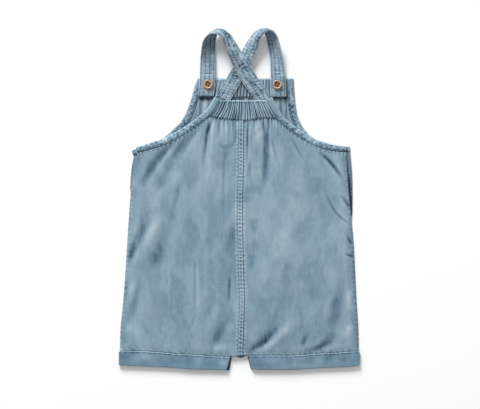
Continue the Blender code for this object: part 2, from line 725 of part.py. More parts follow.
def make_front_casing(finish):
    points = FRONT_CASING_RIBS * CASING_POINTS_PER_RIB + 1
    rows = CASING_ROWS - 1
    lower, upper = [], []
    for row in range(rows):
        t = row / (rows - 1)
        y = FRONT_CASING_FOOT_Y + (FRONT_CASING_TOP_Y - FRONT_CASING_FOOT_Y) * t
        left_x = front_edge_at(-1, y)[0][0] + SEAM_GAP
        right_x = front_edge_at(1, y)[0][0] - SEAM_GAP
        low_row, high_row = [], []
        for i in range(points):
            s = i / (points - 1)
            x = left_x + (right_x - left_x) * s
            thick = FRONT_CASING_THICK * rounded(t, FRONT_CASING_EDGE, FRONT_CASING_ROUND)
            low_row.append((x, y, 0.0))
            high_row.append((x, y, thick + RIB_HEIGHT * (2.0 * rib(s, FRONT_CASING_RIBS) - 1.0)))
        lower.append(low_row)
        upper.append(high_row)
    return make_slab("front_casing", upper, lower, finish)


# ---- bindings -----------------------------------------------------------------------------------
def binding_rings(line, side, width, thick, middle, smooth_until, underside):
    """Sections of a folded strip: flat below, rounded above, puckered where it is stitched."""
    rings = []
    for station in range(BINDING_STATIONS):
        u = station / (BINDING_STATIONS - 1)
        stitched = smooth_step((u - smooth_until) / BINDING_FADE)
        pucker = PUCKER * (1.0 if station % 2 else -1.0) * stitched
        low = underside(u)
        taper = BINDING_TAPER * smooth_step((u - BINDING_TAPER_START) / (1.0 - BINDING_TAPER_START))
        half = width / 2.0 * (1.0 - taper)
        ring = []
        for offset, height in BINDING_PROFILE:
            reach = offset * (half + PUCKER_SPREAD * pucker * (height > 0.0)) + middle
            x, y = line.beside(u, reach if side < 0 else -reach)
            ring.append((x, y, low + height * (thick + pucker)))
        rings.append(ring)
    return rings


def make_back_binding(side, finish):
    line = back_binding(side)
    rings = binding_rings(line, side, BACK_BINDING_WIDTH, BACK_BINDING_THICK, 0.0, BACK_BINDING_SMOOTH,
                          lambda u: line.at(u)[2])
    return make_sweep("binding_back_left" if side < 0 else "binding_back_right", rings, finish)


def make_front_binding(side, finish):
    line = front_binding(side)
    rings = binding_rings(line, side, FRONT_BINDING_WIDTH, FRONT_BINDING_THICK,
                          FRONT_BINDING_WIDTH / 2.0, FRONT_BINDING_SMOOTH, lambda u: 0.0)
    return make_sweep("binding_front_left" if side < 0 else "binding_front_right", rings, finish)


# ---- straps and buttons -------------------------------------------------------------------------
def strap_rings(rows):
    """Sections of a flat strap, bellied between its edges."""
    line = Line(rows, length_columns=(0, 1, 2, 3, 4, 5))

    def edges(u):
        row = line.at(u)
        return Vector(row[0:3]), Vector(row[3:6]), row[6]

    rings = []
    for station in range(STRAP_STATIONS):
        u = station / (STRAP_STATIONS - 1)
        left, right, belly = edges(u)
        back_left, back_right, _ = edges(max(0.0, u - 0.01))
        next_left, next_right, _ = edges(min(1.0, u + 0.01))
        walk = (next_left + next_right - back_left - back_right).normalized()
        across = right - left
        face = across.cross(walk).normalized()
        over, under = [], []
        for i in range(STRAP_ACROSS):
            v = i / (STRAP_ACROSS - 1)
            middle = left + across * v - face * belly * 4.0 * v * (1.0 - v)
            lean = (across - face * belly * 4.0 * (1.0 - 2.0 * v)).cross(walk).normalized()
            over.append(middle + lean * STRAP_THICK / 2.0)
            under.append(middle - lean * STRAP_THICK / 2.0)
        rings.append(over + under[::-1])
    return rings


def make_strap(name, rows, finish):
    return make_sweep(name, strap_rings(rows), finish)


def make_button(name, place, finish):
    """A turned wooden button with a raised rim, a dished middle and four holes."""
    seat = BUTTONED_Z + STRAP_THICK / 2.0 + SEAM_GAP
    bm = bmesh.new()
    turns = [2.0 * math.pi * i / BUTTON_SIDES for i in range(BUTTON_SIDES)]
    rings = [[(radius * math.cos(turn), radius * math.sin(turn), height) for turn in turns]
             for radius, height in BUTTON_PROFILE]
    points = add_grid(bm, rings, round_rows=True)
    bm.faces.new(points[0][::-1])
    bm.faces.new(points[-1])
    bmesh.ops.translate(bm, vec=(place[0], place[1], seat), verts=bm.verts)
    button = make_object(name, bm, finish)

    drill = bmesh.new()
    for hole in range(4):
        angle = math.radians(BUTTON_HOLE_TURN + 90.0 * hole)
        made = bmesh.ops.create_cone(
            drill, cap_ends=True, segments=BUTTON_HOLE_SIDES, radius1=BUTTON_HOLE_RADIUS,
            radius2=BUTTON_HOLE_RADIUS, depth=4.0 * BUTTON_THICK)
        bmesh.ops.translate(drill, verts=made["verts"], vec=(
            place[0] + BUTTON_HOLE_SPREAD * math.cos(angle),
            place[1] + BUTTON_HOLE_SPREAD * math.sin(angle), seat))
    cutter = make_object(name + "_drill", drill, finish)
    cutter.hide_render = True
    cutter.display_type = "WIRE"
    cut = button.modifiers.new("holes", "BOOLEAN")
    cut.operation = "DIFFERENCE"
    cut.solver = "EXACT"
    cut.object = cutter
    return button


# ---- cuffs --------------------------------------------------------------------------------------
def make_cuff(side, finish):
    """A turned-up cuff pressed flat: a ring of doubled cloth round the end of the leg."""
    rows = hem(side)
    height = 2.0 * CUFF_WALL + CUFF_SLIT
    outer_end = side * CUFF_REACH
    inner_ends = CUFF_LEFT_INNER if side < 0 else CUFF_RIGHT_INNER

    def loop(inset, t):
        """Round the leg: along the lower layer, up the outer end, back along the upper layer."""
        low_z, high_z = inset, height - inset
        outer = outer_end - side * (inset + CUFF_BEND)
        inner_high = read_table(inner_ends, 1, t) + side * inset
        inner_foot = read_table(inner_ends, 2, t) + side * inset * CUFF_INNER_SLANT
        bend = (high_z - low_z) / 2.0
        places = []
        for i in range(CUFF_POINTS):
            share = i / (CUFF_POINTS - 1)
            places.append((inner_foot + (outer - inner_foot) * share, low_z))
        for turn in (-45.0, 0.0, 45.0):
            angle = math.radians(turn)
            reach = side * min(CUFF_BEND, bend) * math.cos(angle)
            places.append((outer + reach, low_z + bend + bend * math.sin(angle)))
        for i in range(CUFF_POINTS):
            share = i / (CUFF_POINTS - 1)
            wave = CUFF_WAVE * math.sin(share * CUFF_WAVES) * math.sin(math.pi * share)
            places.append((outer + (inner_high - outer) * share, high_z + wave))
        places.append(((inner_high + inner_foot) / 2.0 - side * CUFF_LIP, (low_z + high_z) / 2.0))
        return places

    def ring(inset, t):
        made = []
        for x, z in loop(inset, t):
            held_x = min(abs(x), CUFF_REACH) * side if x * side > 0 else x
            top, fold = read_table(rows, 1, held_x), read_table(rows, 2, held_x)
            made.append((x, fold + (top - fold) * t, z))
        return made

    bm = bmesh.new()
    steps = [row / (CUFF_ROWS - 1) for row in range(CUFF_ROWS)]
    outer_points = add_grid(bm, [ring(0.0, t) for t in steps], round_rows=True)
    inner_points = add_grid(bm, [ring(CUFF_WALL, t) for t in steps], round_rows=True)
    for end in (0, -1):
        over, under = outer_points[end], inner_points[end]
        for i in range(len(over)):
            j = (i + 1) % len(over)
            bm.faces.new((over[i], over[j], under[j], under[i]))
    return make_object("cuff_left" if side < 0 else "cuff_right", bm, finish)


# ---- the whole garment --------------------------------------------------------------------------
def clear_scene():
    for old in list(bpy.data.objects):
        bpy.data.objects.remove(old, do_unlink=True)


def chambray():
    return material("chambray", colour(131, 158, 173), 0.9)


def chambray_wrong_side():
    return material("chambray_wrong_side", colour(112, 137, 154), 0.92)


def strap_cloth():
    return material("strap_cloth", colour(134, 155, 169), 0.9)


def turned_wood():
    return material("turned_wood", colour(200, 142, 96), 0.55)


def main():
    clear_scene()
    outside, inside, strap, wood = chambray(), chambray_wrong_side(), strap_cloth(), turned_wood()
    for side in (-1, 1):
        make_front(side, inside)
        make_front_binding(side, inside)
        make_back(side, outside)
        make_back_binding(side, outside)
        make_cuff(side, outside)
    make_front_casing(inside)
    make_back_casing(outside)
    make_back_seam(outside)
    make_strap("strap_left", STRAP_LEFT, strap)
    make_strap("strap_right", STRAP_RIGHT, strap)
    make_button("button_left", BUTTONS[0], wood)
    make_button("button_right", BUTTONS[1], wood)


main()
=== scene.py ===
"""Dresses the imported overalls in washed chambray, topstitching and turned buttons, and lights them.

The garment lies flat on its front with the back up: +X is to the right, +Y runs from the hems to the
straps and +Z is up from the surface.  Sizes and tables are in millimetres; the meshes are in metres.
Each piece of cloth is a thin closed shell over the solid of the same place, with its own finer folds.
"""
import math
import random

import bpy
import numpy as np
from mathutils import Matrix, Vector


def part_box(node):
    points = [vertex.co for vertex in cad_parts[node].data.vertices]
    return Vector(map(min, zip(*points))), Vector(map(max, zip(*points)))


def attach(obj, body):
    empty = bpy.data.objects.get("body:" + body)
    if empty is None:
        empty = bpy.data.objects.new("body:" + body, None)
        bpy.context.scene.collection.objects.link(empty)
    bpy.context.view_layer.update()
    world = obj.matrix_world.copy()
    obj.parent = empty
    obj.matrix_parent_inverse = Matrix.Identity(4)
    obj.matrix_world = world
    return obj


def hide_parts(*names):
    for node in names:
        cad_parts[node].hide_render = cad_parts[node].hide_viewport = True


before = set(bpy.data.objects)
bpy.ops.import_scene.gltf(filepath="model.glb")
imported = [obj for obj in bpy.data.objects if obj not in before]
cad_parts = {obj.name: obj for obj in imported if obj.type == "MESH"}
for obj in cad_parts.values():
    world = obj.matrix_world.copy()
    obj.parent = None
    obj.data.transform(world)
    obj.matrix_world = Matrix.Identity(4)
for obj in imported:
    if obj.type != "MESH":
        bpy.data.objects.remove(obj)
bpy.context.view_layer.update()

bl_info = {
    "name": "Chambray Overalls",
    "version": (1, 0, 0),
    "blender": (4, 5, 0),
    "location": "3D View > Sidebar > Overalls",
    "description": "Dresses a child's short overalls in washed chambray, stitching and wooden buttons",
    "category": "Object",
}

MM = 0.001
LEFT, RIGHT = -1, 1
NAME_OF = {LEFT: "left", RIGHT: "right"}

# ---- the garment's sizes, as in the solids ------------------------------------------------------
CLOTH = 1.1
SEAM_GAP = 0.3
BINDING_GAP = 0.2           # a panel's edge tucks in closer to its binding than the solids do
CUFF_GAP = 0.2
SEAM_X = 2.2
SHIFT_Y = -1.5
HEM_HALF_WIDTH = 164.8
PANEL_HEIGHT = 310.0
PANEL_HALF_WIDTH = 150.0
CROWN = 1.9
CROWN_REACH = 16.0
BACK_EDGE_Z = 1.4
BACK_TOP_Z = 3.3
HEM_Z = 2.7
EDGE_PUFF = 3.0
EDGE_FOLD = 4.0
EDGE_FOLD_REACH = 10.0
TOP_REACH = 9.0
TOP_SHARE_AT_CASING = 0.75
LIFT_REACH = 12.0
HEM_REACH = 8.0
CROTCH_OPEN = 8.0
CROTCH_OPEN_REACH = 12.0
FELL_WIDTH = 7.2
FELL_THICK = 1.0
BACK_CASING_THICK = 2.9
BACK_CASING_TOP_Z = 6.1
BACK_CASING_EDGE = 0.72
BACK_CASING_ROUND = 0.12
BACK_CASING_DIP = 1.4
BACK_CASING_DIP_WIDTH = 0.14
FRONT_CASING_TOP_Y = 168.5
FRONT_CASING_FOOT_Y = 142.0
FRONT_CASING_THICK = 3.4
FRONT_CASING_EDGE = 0.78
FRONT_CASING_ROUND = 0.15
RIB_HEIGHT = 0.7
BACK_BINDING_WIDTH = 9.0
BACK_BINDING_THICK = 2.8
BACK_BINDING_Z = 3.0
FRONT_BINDING_WIDTH = 10.0
FRONT_BINDING_THICK = 2.6
BINDING_TAPER = 0.2
BINDING_TAPER_START = 0.8
STRAP_THICK = 1.8
CUFF_WALL = 2.0
CUFF_SLIT = 0.8
CUFF_REACH = 166.0
CUFF_BEND = 1.2
CUFF_INNER_SLANT = 1.8
CUFF_INNER = {
    # share of the height, inner end of the upper layer, of the lower one
    LEFT: [(0.0, -17.7, -13.4), (1.0, -12.4, -10.2)],
    RIGHT: [(0.0, 17.2, 15.6), (1.0, 13.0, 11.6)],
}
CROTCH_DIP = 4.2
CROTCH_HALF_WIDTH = 9.0
CASING_CORNER = {LEFT: 0.19, RIGHT: 0.215}
CASING_SEAM_MIDDLE = 0.464
BACK_CORNER_SHARE = 0.36
FRONT_CORNER_SHARE = 0.3

SIDES = [
    # height  back_left  back_right  front_left  front_right
    (64.0, -142.2, 146.8, -149.0, 153.6),
    (45.0, -145.8, 148.5, -150.2, 155.4),
    (10.0, -150.0, 151.3, -151.0, 155.9),
    (-25.0, -152.4, 154.6, -152.4, 155.8),
    (-60.0, -154.6, 157.8, -154.6, 157.8),
    (-137.0, -159.8, 161.6, -159.8, 161.6),
    (-172.0, -163.4, 164.0, -163.4, 164.0),
    (-208.0, -164.8, 164.8, -164.8, 164.8),
]
SEAM = [
    # height  x
    (122.0, 3.0),
    (70.0, 2.5),
    (37.0, 2.1),
    (-6.0, 1.0),
    (-34.0, 1.2),
    (-63.0, 1.8),
    (-96.0, 2.5),
    (-137.0, 3.8),
    (-179.0, 2.5),
    (-212.0, 1.4),
]
HEM = {
    LEFT: [
        # x      top_edge  fold
        (2.2, -213.2, -233.6),
        (-10.0, -215.2, -234.2),
        (-20.0, -215.4, -233.8),
        (-34.0, -214.8, -233.4),
        (-67.0, -212.4, -232.4),
        (-88.0, -211.2, -230.6),
        (-116.0, -208.6, -228.9),
        (-140.0, -207.6, -228.2),
        (-166.0, -208.2, -226.8),
    ],
    RIGHT: [
        (2.2, -213.2, -231.0),
        (12.0, -213.8, -231.4),
        (18.0, -213.9, -232.0),
        (26.0, -213.8, -233.2),
        (49.0, -213.7, -233.2),
        (70.0, -213.7, -233.4),
        (91.0, -212.6, -232.2),
        (112.0, -210.8, -230.8),
        (132.0, -209.9, -230.0),
        (153.0, -208.3, -229.0),
        (166.0, -207.9, -226.8),
    ],
}
BACK_BINDING = {
    LEFT: [
        # x      y      underside
        (-30.5, 140.5, 6.6),
        (-38.4, 126.5, 4.9),
        (-47.5, 117.0, 3.5),
        (-63.5, 104.4, 3.0),
        (-86.5, 90.0, 3.0),
        (-101.0, 82.4, 3.0),
        (-119.0, 76.2, 3.0),
        (-141.4, 70.0, 3.0),
    ],
    RIGHT: [
        (41.5, 140.5, 6.6),
        (46.4, 130.6, 5.4),
        (52.5, 120.0, 3.9),
        (58.5, 111.6, 3.2),
        (72.0, 100.6, 3.0),
        (88.5, 88.6, 3.0),
        (107.5, 79.0, 3.0),
        (125.0, 73.6, 3.0),
        (148.0, 71.0, 3.0),
    ],
}
FRONT_BINDING = {
    LEFT: [
        # x      y, along the outer edge
        (-57.5, 169.0),
        (-62.0, 156.0),
        (-66.0, 142.0),
        (-71.5, 126.5),
        (-79.5, 110.5),
        (-92.0, 97.6),
        (-106.0, 86.2),
        (-124.0, 78.0),
        (-148.6, 70.2),
    ],
    RIGHT: [
        (75.0, 168.6),
        (76.4, 147.0),
        (78.3, 127.8),
        (80.8, 116.8),
        (85.6, 105.7),
        (93.0, 94.7),
        (101.5, 86.4),
        (112.0, 79.6),
        (126.0, 75.2),
        (140.0, 75.0),
        (152.6, 75.6),
    ],
}
BACK_CASING_SEAM = [(-17.0, 112.2), (1.0, 110.6), (13.5, 110.6), (33.0, 113.8)]

# Folds of the back, deepest near their start and fading to their end; the solids have the main ones.
FOLDS = [
    # start_x start_y end_x end_y bow start_width end_width height
    # upper left
    (-57.5, 102.5, -97.0, 45.0, 1.0, 4.8, 7.4, -3.2),
    (-95.5, 49.0, -127.0, -9.0, 0.0, 5.0, 6.5, -0.9),
    (-90.3, 83.6, -147.2, -4.4, 3.0, 4.6, 7.0, -2.8),
    (-85.1, 78.4, -148.0, -8.8, 3.5, 4.0, 6.0, 1.0),
    (-76.5, 40.8, -123.0, -8.8, 0.0, 5.0, 7.0, 0.8),
    (-36.8, 114.7, -45.8, 89.8, 0.0, 2.0, 3.0, -2.8),
    (-44.4, 93.3, -51.3, 42.2, 0.0, 2.2, 3.2, -1.2),
    (-33.4, 108.5, -43.0, 31.2, 0.0, 4.0, 6.0, 0.9),
    (-54.0, 105.7, -68.0, 56.0, 0.0, 5.0, 8.0, 0.9),
    (-29.1, 114.0, -27.2, 87.8, 0.0, 1.4, 2.2, -1.1),
    (-6.0, 111.0, -6.3, 101.6, 0.0, 1.3, 1.8, -1.1),
    (-18.2, 72.6, -18.2, 25.7, 0.0, 5.0, 6.5, -0.8),
    (-21.3, 49.0, -23.0, -29.5, 0.0, 2.2, 3.0, -0.6),
    (-6.5, 28.4, -5.8, -33.7, 0.0, 4.0, 4.0, 0.5),
    (-8.6, -37.8, -15.5, -76.5, 0.0, 6.0, 7.0, -1.1),
    # lower left
    (-83.3, 18.1, -95.0, -30.0, 0.0, 3.0, 5.0, -0.8),
    (-119.0, -90.0, -92.0, -16.0, 2.0, 8.0, 9.5, -1.7),
    (-152.0, -84.0, -121.0, -16.0, -2.0, 4.6, 7.0, -2.2),
    (-112.0, -26.0, -146.0, -96.0, 0.0, 6.0, 7.0, 1.2),
    (-153.0, -166.0, -137.0, -118.0, 0.0, 5.0, 6.0, -1.0),
    (-145.2, -113.7, -156.2, -151.0, 0.0, 4.0, 4.0, 0.8),
    (-153.5, -173.0, -135.5, -195.0, 0.0, 9.0, 9.0, 0.9),
    (-94.2, -93.0, -94.2, -172.0, 0.0, 1.2, 1.2, -0.35),
    (-95.6, -93.0, -95.6, -172.0, 0.0, 1.1, 1.1, 0.3),
    (-61.0, -87.5, -61.0, -159.0, 0.0, 1.6, 1.6, -0.5),
    (-61.0, -159.0, -68.0, -178.6, 0.0, 1.6, 3.0, -0.5),
    (-57.0, -95.0, -57.0, -155.0, 0.0, 3.0, 3.0, 0.4),
    (-46.0, -61.0, -46.0, -137.0, 0.0, 4.0, 4.0, 0.6),
    (-51.0, -137.0, -61.0, -178.0, 0.0, 7.0, 7.0, 0.7),
    (-37.5, -199.0, -14.0, -150.0, 2.0, 6.0, 8.0, -1.3),
    (-13.0, -105.4, -14.8, -144.0, 0.0, 1.8, 1.8, -0.9),
    (-4.4, -137.0, -4.4, -178.6, 0.0, 3.0, 3.0, 0.5),
    (-34.8, -206.0, -14.0, -200.6, 0.0, 4.0, 4.0, 0.7),
    (-29.3, -144.0, -41.7, -185.0, 0.0, 5.0, 5.0, 0.6),
    # upper right
    (11.0, 111.0, 11.0, 50.0, 0.0, 1.3, 1.8, -1.6),
    (8.0, 110.0, 8.0, 52.0, 0.0, 1.5, 1.5, 0.6),
    (32.8, 110.0, 32.8, 96.0, 0.0, 1.4, 1.4, -1.2),
    (37.0, 108.5, 32.2, 14.6, -3.0, 3.6, 5.2, -2.4),
    (14.9, 50.5, 12.1, 25.7, 0.0, 2.8, 2.8, -0.8),
    (30.0, 100.6, 16.3, 83.6, 0.0, 3.0, 3.0, -0.5),
    (23.2, 111.0, 24.6, 70.0, 0.0, 6.0, 6.0, 0.9),
    (43.9, 86.4, 57.3, 41.3, 0.0, 1.6, 1.6, -0.6),
    (72.2, 85.0, 90.8, 51.9, 0.0, 1.6, 1.6, -0.8),
    (47.3, 111.0, 63.2, 85.0, 0.0, 2.0, 2.0, 0.5),
    (140.2, 32.6, 101.8, 72.6, 3.4, 2.8, 2.4, -2.3),
    (118.4, 67.0, 139.0, 56.0, 0.0, 3.5, 3.5, 0.6),
    (97.7, 56.0, 125.3, 28.4, 0.0, 7.0, 7.0, 0.8),
    (114.3, 28.4, 92.2, -6.0, 0.0, 10.0, 10.0, -0.5),
    (152.4, -32.3, 119.8, 11.9, -6.0, 1.8, 1.5, -1.1),
    (154.3, -10.2, 139.0, 7.7, 0.0, 3.0, 2.0, -1.5),
    (155.0, -60.0, 147.4, -46.0, 0.0, 2.5, 1.5, -1.2),
    (156.4, -76.5, 143.2, -73.7, 0.0, 2.2, 1.5, -1.1),
    # lower right
    (64.6, -40.6, 16.3, -141.3, 0.0, 9.0, 9.0, 1.0),
    (18.4, -25.4, 19.0, -50.0, 0.0, 6.0, 6.0, -1.0),
    (17.7, -75.0, 14.9, -102.7, 0.0, 5.0, 5.0, -0.7),
    (68.7, -79.2, 61.8, -137.2, 0.0, 7.0, 6.0, -1.0),
    (20.4, -203.4, 61.8, -137.2, 8.3, 6.0, 10.0, -1.5),
    (12.7, -210.0, 52.2, -181.0, 0.0, 3.8, 6.6, -1.1),
    (34.2, -207.6, 93.6, -155.8, -2.7, 4.0, 8.0, 1.3),
    (100.5, -206.9, 130.8, -167.5, 10.0, 4.4, 8.0, -2.4),
    (130.8, -171.7, 140.5, -106.8, 0.0, 7.5, 6.0, -2.2),
    (86.7, -200.6, 95.0, -178.6, 0.0, 3.0, 4.0, -0.9),
    (151.5, -124.8, 151.5, -152.4, 0.0, 3.5, 3.5, 0.7),
    (152.9, -171.7, 144.6, -199.3, 0.0, 6.0, 6.0, 1.1),
    (123.9, -131.7, 114.3, -178.6, 0.0, 5.0, 5.0, 0.6),
]
# Folds of the front where its inside shows beside the back.
FRONT_FOLDS = [
    (-53.4, 138.0, -53.4, 108.0, 0.0, 1.4, 1.8, -1.1),
    (-56.4, 140.0, -57.2, 108.0, 0.0, 1.8, 2.0, 0.9),
    (-46.0, 137.0, -44.0, 112.0, 0.0, 5.0, 5.0, 0.8),
    (55.6, 140.0, 58.6, 106.0, 0.0, 1.6, 1.8, -1.1),
    (52.8, 140.0, 55.0, 106.0, 0.0, 1.8, 2.0, 0.9),
    (64.0, 140.0, 66.0, 104.0, 0.0, 1.6, 1.6, -0.7),
    (61.5, 140.0, 63.6, 104.0, 0.0, 1.5, 1.5, 0.6),
]

SIDE_OPEN_Y = {LEFT: 18.0, RIGHT: -18.0}       # above this the side is open
SIDE_OPEN_REACH = 14.0
BUTTON_MIDDLE = {LEFT: -44.8, RIGHT: 54.0}     # the middles of the straps' buttoned ends
BIB_MIDDLE_X = 8.0                             # about the middle of the bib's top
PALE_SPOT = {LEFT: (-47.0, 130.0), RIGHT: (47.5, 134.0)}    # where the bib's inside is drawn palest
INSIDE_LIGHT = {LEFT: 0.0, RIGHT: 1.5}         # how much painted light brightens all that shows of the inside
SLIT_HEM_SHADE = {LEFT: 0.9, RIGHT: 2.0}      # how much painted shade darkens the hem of the side slit
WASHED_AREAS = [
    # x, y, reach, paler (over 0) or deeper
    (62.0, 24.0, 60.0, 0.22),
    (80.0, -170.0, 70.0, -0.4),
]

# Sections across each strap, from the buttoned end over the loop to the sewn end.
STRAPS = {
    LEFT: [
        # left x, y, z         right x, y, z          belly
        (-56.6, 143.4, 5.5, -34.6, 143.6, 5.5, 0.0),
        (-54.8, 166.0, 5.5, -33.4, 166.0, 5.5, 0.0),
        (-54.2, 180.0, 4.8, -33.0, 180.0, 4.4, 0.3),
        (-53.8, 193.0, 6.0, -32.8, 193.0, 3.0, 1.2),
        (-52.4, 205.1, 10.4, -32.6, 206.0, 2.2, 2.2),
        (-50.4, 216.8, 14.2, -32.2, 215.6, 2.2, 3.0),
        (-45.8, 224.6, 17.0, -31.4, 224.4, 2.4, 3.8),
        (-38.9, 228.6, 18.8, -28.2, 231.4, 3.4, 4.4),
        (-30.8, 227.6, 19.4, -21.2, 234.2, 5.8, 4.4),
        (-25.0, 222.2, 18.4, -13.6, 229.4, 8.2, 3.6),
        (-21.5, 214.8, 16.6, -7.2, 221.0, 9.2, 2.6),
        (-17.1, 204.0, 14.2, 0.0, 209.6, 9.6, 1.6),
        (-11.5, 191.1, 11.6, 7.4, 198.2, 9.4, 0.7),
        (-5.2, 178.8, 9.0, 14.3, 186.9, 8.9, 0.2),
        (2.6, 165.1, 7.9, 22.5, 174.0, 8.0, 0.0),
        (10.4, 153.8, 6.9, 30.3, 162.1, 6.9, 0.0),
        (17.0, 145.4, 5.6, 37.6, 152.2, 5.8, 0.0),
        (22.4, 137.4, 4.3, 42.0, 142.2, 5.2, 0.0),
        (25.0, 131.6, 3.6, 44.2, 135.2, 4.2, 0.0),
    ],
    RIGHT: [
        (43.4, 142.6, 5.5, 64.4, 142.8, 5.5, 0.0),
        (43.2, 166.0, 5.5, 63.8, 166.0, 5.5, 0.0),
        (43.0, 179.0, 4.4, 62.6, 179.0, 4.8, 0.3),
        (42.6, 192.0, 3.0, 60.8, 191.5, 6.6, 1.2),
        (41.4, 204.0, 2.2, 58.1, 203.1, 11.0, 2.6),
        (39.4, 215.0, 2.2, 55.7, 213.8, 14.4, 3.0),
        (37.0, 225.0, 2.4, 52.4, 224.6, 16.2, 3.0),
        (34.4, 231.5, 2.8, 46.9, 232.1, 17.2, 2.6),
        (31.0, 234.9, 3.4, 40.1, 233.2, 17.6, 2.4),
        (26.2, 234.9, 4.2, 34.6, 229.3, 17.0, 3.0),
        (20.0, 230.3, 4.8, 30.8, 224.1, 15.4, 3.4),
        (13.6, 222.4, 5.2, 27.3, 216.9, 12.8, 2.8),
        (7.0, 211.4, 5.4, 23.9, 205.8, 9.8, 1.6),
        (-0.2, 198.6, 5.5, 18.9, 193.1, 6.9, 0.6),
        (-7.8, 185.2, 5.5, 12.2, 180.4, 5.6, 0.1),
        (-16.4, 170.8, 5.5, 3.6, 165.4, 5.5, 0.0),
        (-24.8, 156.6, 5.5, -4.6, 151.0, 5.5, 0.0),
        (-31.4, 145.6, 5.5, -10.6, 141.2, 5.3, 0.0),
        (-36.6, 136.4, 4.3, -15.6, 133.0, 4.2, 0.0),
        (-38.4, 132.6, 3.8, -17.2, 129.4, 3.7, 0.0),
    ],
}

# ---- how finely the cloth is drawn: points along by points across --------------------------------
BACK_POINTS = (236, 122)
SEAM_POINTS = (560, 19)
FRONT_POINTS = (150, 96)
BACK_CASING_POINTS = (40, 300)
FRONT_CASING_POINTS = (36, 300)
BINDING_STEP, BINDING_ACROSS = 0.62, 19     # millimetres from row to row, and points in a row
STRAP_STEP, STRAP_ACROSS = 0.8, 41
STRAP_TURN = 0.47 * math.pi                 # how far round its edges a strap's points go
CUFF_FLAT_POINTS, CUFF_BEND_POINTS, CUFF_UP_POINTS = 170, 9, 30
BUTTON_RINGS, BUTTON_SIDES = 90, 128
STITCH_PLACES, THREAD_SIDES = 5, 6          # rings along one stitch, and points in a ring

# ---- finer form, only in the cloth --------------------------------------------------------------
BACK_GROOVES = [
    # place from left (0) to right (1), depth
    (0.03, 0.6), (0.08, 0.7), (0.127, 1.0), (0.165, 0.5), (0.21, 0.85), (0.27, 0.6), (0.303, 0.8),
    (0.35, 0.6), (0.383, 0.9), (0.43, 0.7), (0.476, 0.85), (0.54, 0.7), (0.572, 0.8), (0.62, 0.7),
    (0.714, 1.0), (0.778, 0.6), (0.81, 0.8), (0.857, 0.7), (0.905, 0.95), (0.952, 0.7),
]
FRONT_RIBS = 27
FRONT_GROOVES = [((rib + 0.5) / FRONT_RIBS, 0.55 + 0.1 * (rib * 7 % 5)) for rib in range(FRONT_RIBS)]
PUCKER_PITCH = 5.3          # between the puckers that a row of stitches draws up
DENT_PITCH = 5.6            # between the dents of the stitches beside a back binding
BINDING_SLOPE = 0.86        # turns a distance down from the upper edge into one square to the binding
FRONT_SHOWS_Y = 84.0        # above this the inside of the front shows beside the back
STAND_OUT_STEP = {
    # how far a point stands out, in millimetres, for the cloth to be a step paler there from rubbing; as
    # far sunk makes it a step darker, partly painted shade
    "back": 0.26,
    "back_gathers": 0.12,
    "seam": 0.13,
    "casing": 0.24,
    "front": 0.18,
    "binding": 0.19,
    "strap": 0.17,
    "cuff": 0.3,
}
# How far along a strap the painted shade in the hollow of its loop is darkest, and over what reach it
# fades.
LOOP_SHADE = {LEFT: (76.0, 13.0), RIGHT: (80.0, 10.0)}
STRAP_ROWS = (-0.84, -0.3, 0.3, 0.84)       # stitch rows, as shares of a strap's half width
SEAM_ROWS = (-0.84, 0.84)                   # and of the centre seam's
BINDING_ROW = 0.5           # stitch row of a binding, from its middle (0) to its inner edge (1)
CUFF_ROW = 0.91             # stitch row of a cuff, as a share of its height
CASING_ROWS = (0.87, 0.07)  # stitch rows of a gathered top, as shares of its height
# The straps can also be buttoned here, or at the end of their straight part if that comes first.
EXTRA_BUTTONHOLES_Y = (199.0, 178.4)
STRAIGHT_ROWS, DENTED_ROWS = 60, 40         # rows of a strap's points for its holes and their dents
BUTTON_TURN = math.radians(-24.0)           # the sewn holes stand a little askew
BUTTON_HOLE_SPREAD = 1.75
BUTTON_HOLE_RADIUS = 1.3
BUTTON_PROFILE = [
    # radius height
    (4.4, 0.0),
    (5.5, 0.25),
    (6.1, 0.8),
    (6.35, 1.4),
    (6.25, 2.0),
    (5.95, 2.5),
    (5.45, 2.78),
    (4.95, 2.72),
    (4.5, 2.42),
    (4.05, 2.12),
    (3.5, 1.95),
    (2.7, 1.86),
    (1.4, 1.8),
    (0.0, 1.8),
]
CRUMPLES = [
    # height, size across, size along
    (0.34, 31.0, 44.0),
    (0.16, 13.0, 21.0),
    (0.06, 5.0, 7.0),
]
FOLD_CRISPNESS = 2.2        # 2 is a soft roll; more gives steeper sides and a flatter middle
FOLD_SPREAD = 1.15          # how much softer a fold is than the widths in its table
FOLD_BEFORE, FOLD_RISE = 0.16, 0.36     # shares of a fold's run over which it begins
FOLD_PAST, FOLD_FADE = 0.16, 0.8        # and over which it ends
BUBBLE_X, BUBBLE_Y = -17.5, 92.0        # middle of the loose bubble left of the centre seam
BUBBLE_WIDE, BUBBLE_HIGH = 13.0, 17.0

# ---- the stage ----------------------------------------------------------------------------------
VIEW_X, VIEW_Y = 1.1, -5.4  # the middle of the camera's view
FLOOR_REACH, FLOOR_DROP = 1500.0, -0.3
KEY_PLACE, KEY_SIZE = (-1.6, 4.6, 2.4), 2.0     # in metres: a low, soft light beyond the straps


# ---- small tools --------------------------------------------------------------------------------
def smooth_step(value):
    """0 below 0, 1 above 1 and a soft rise between."""
    value = np.clip(value, 0.0, 1.0)
    return value * value * (3.0 - 2.0 * value)


def bump(value, width):
    """A soft hump, 1 at the middle."""
    return np.exp(-((value / width) ** 2))


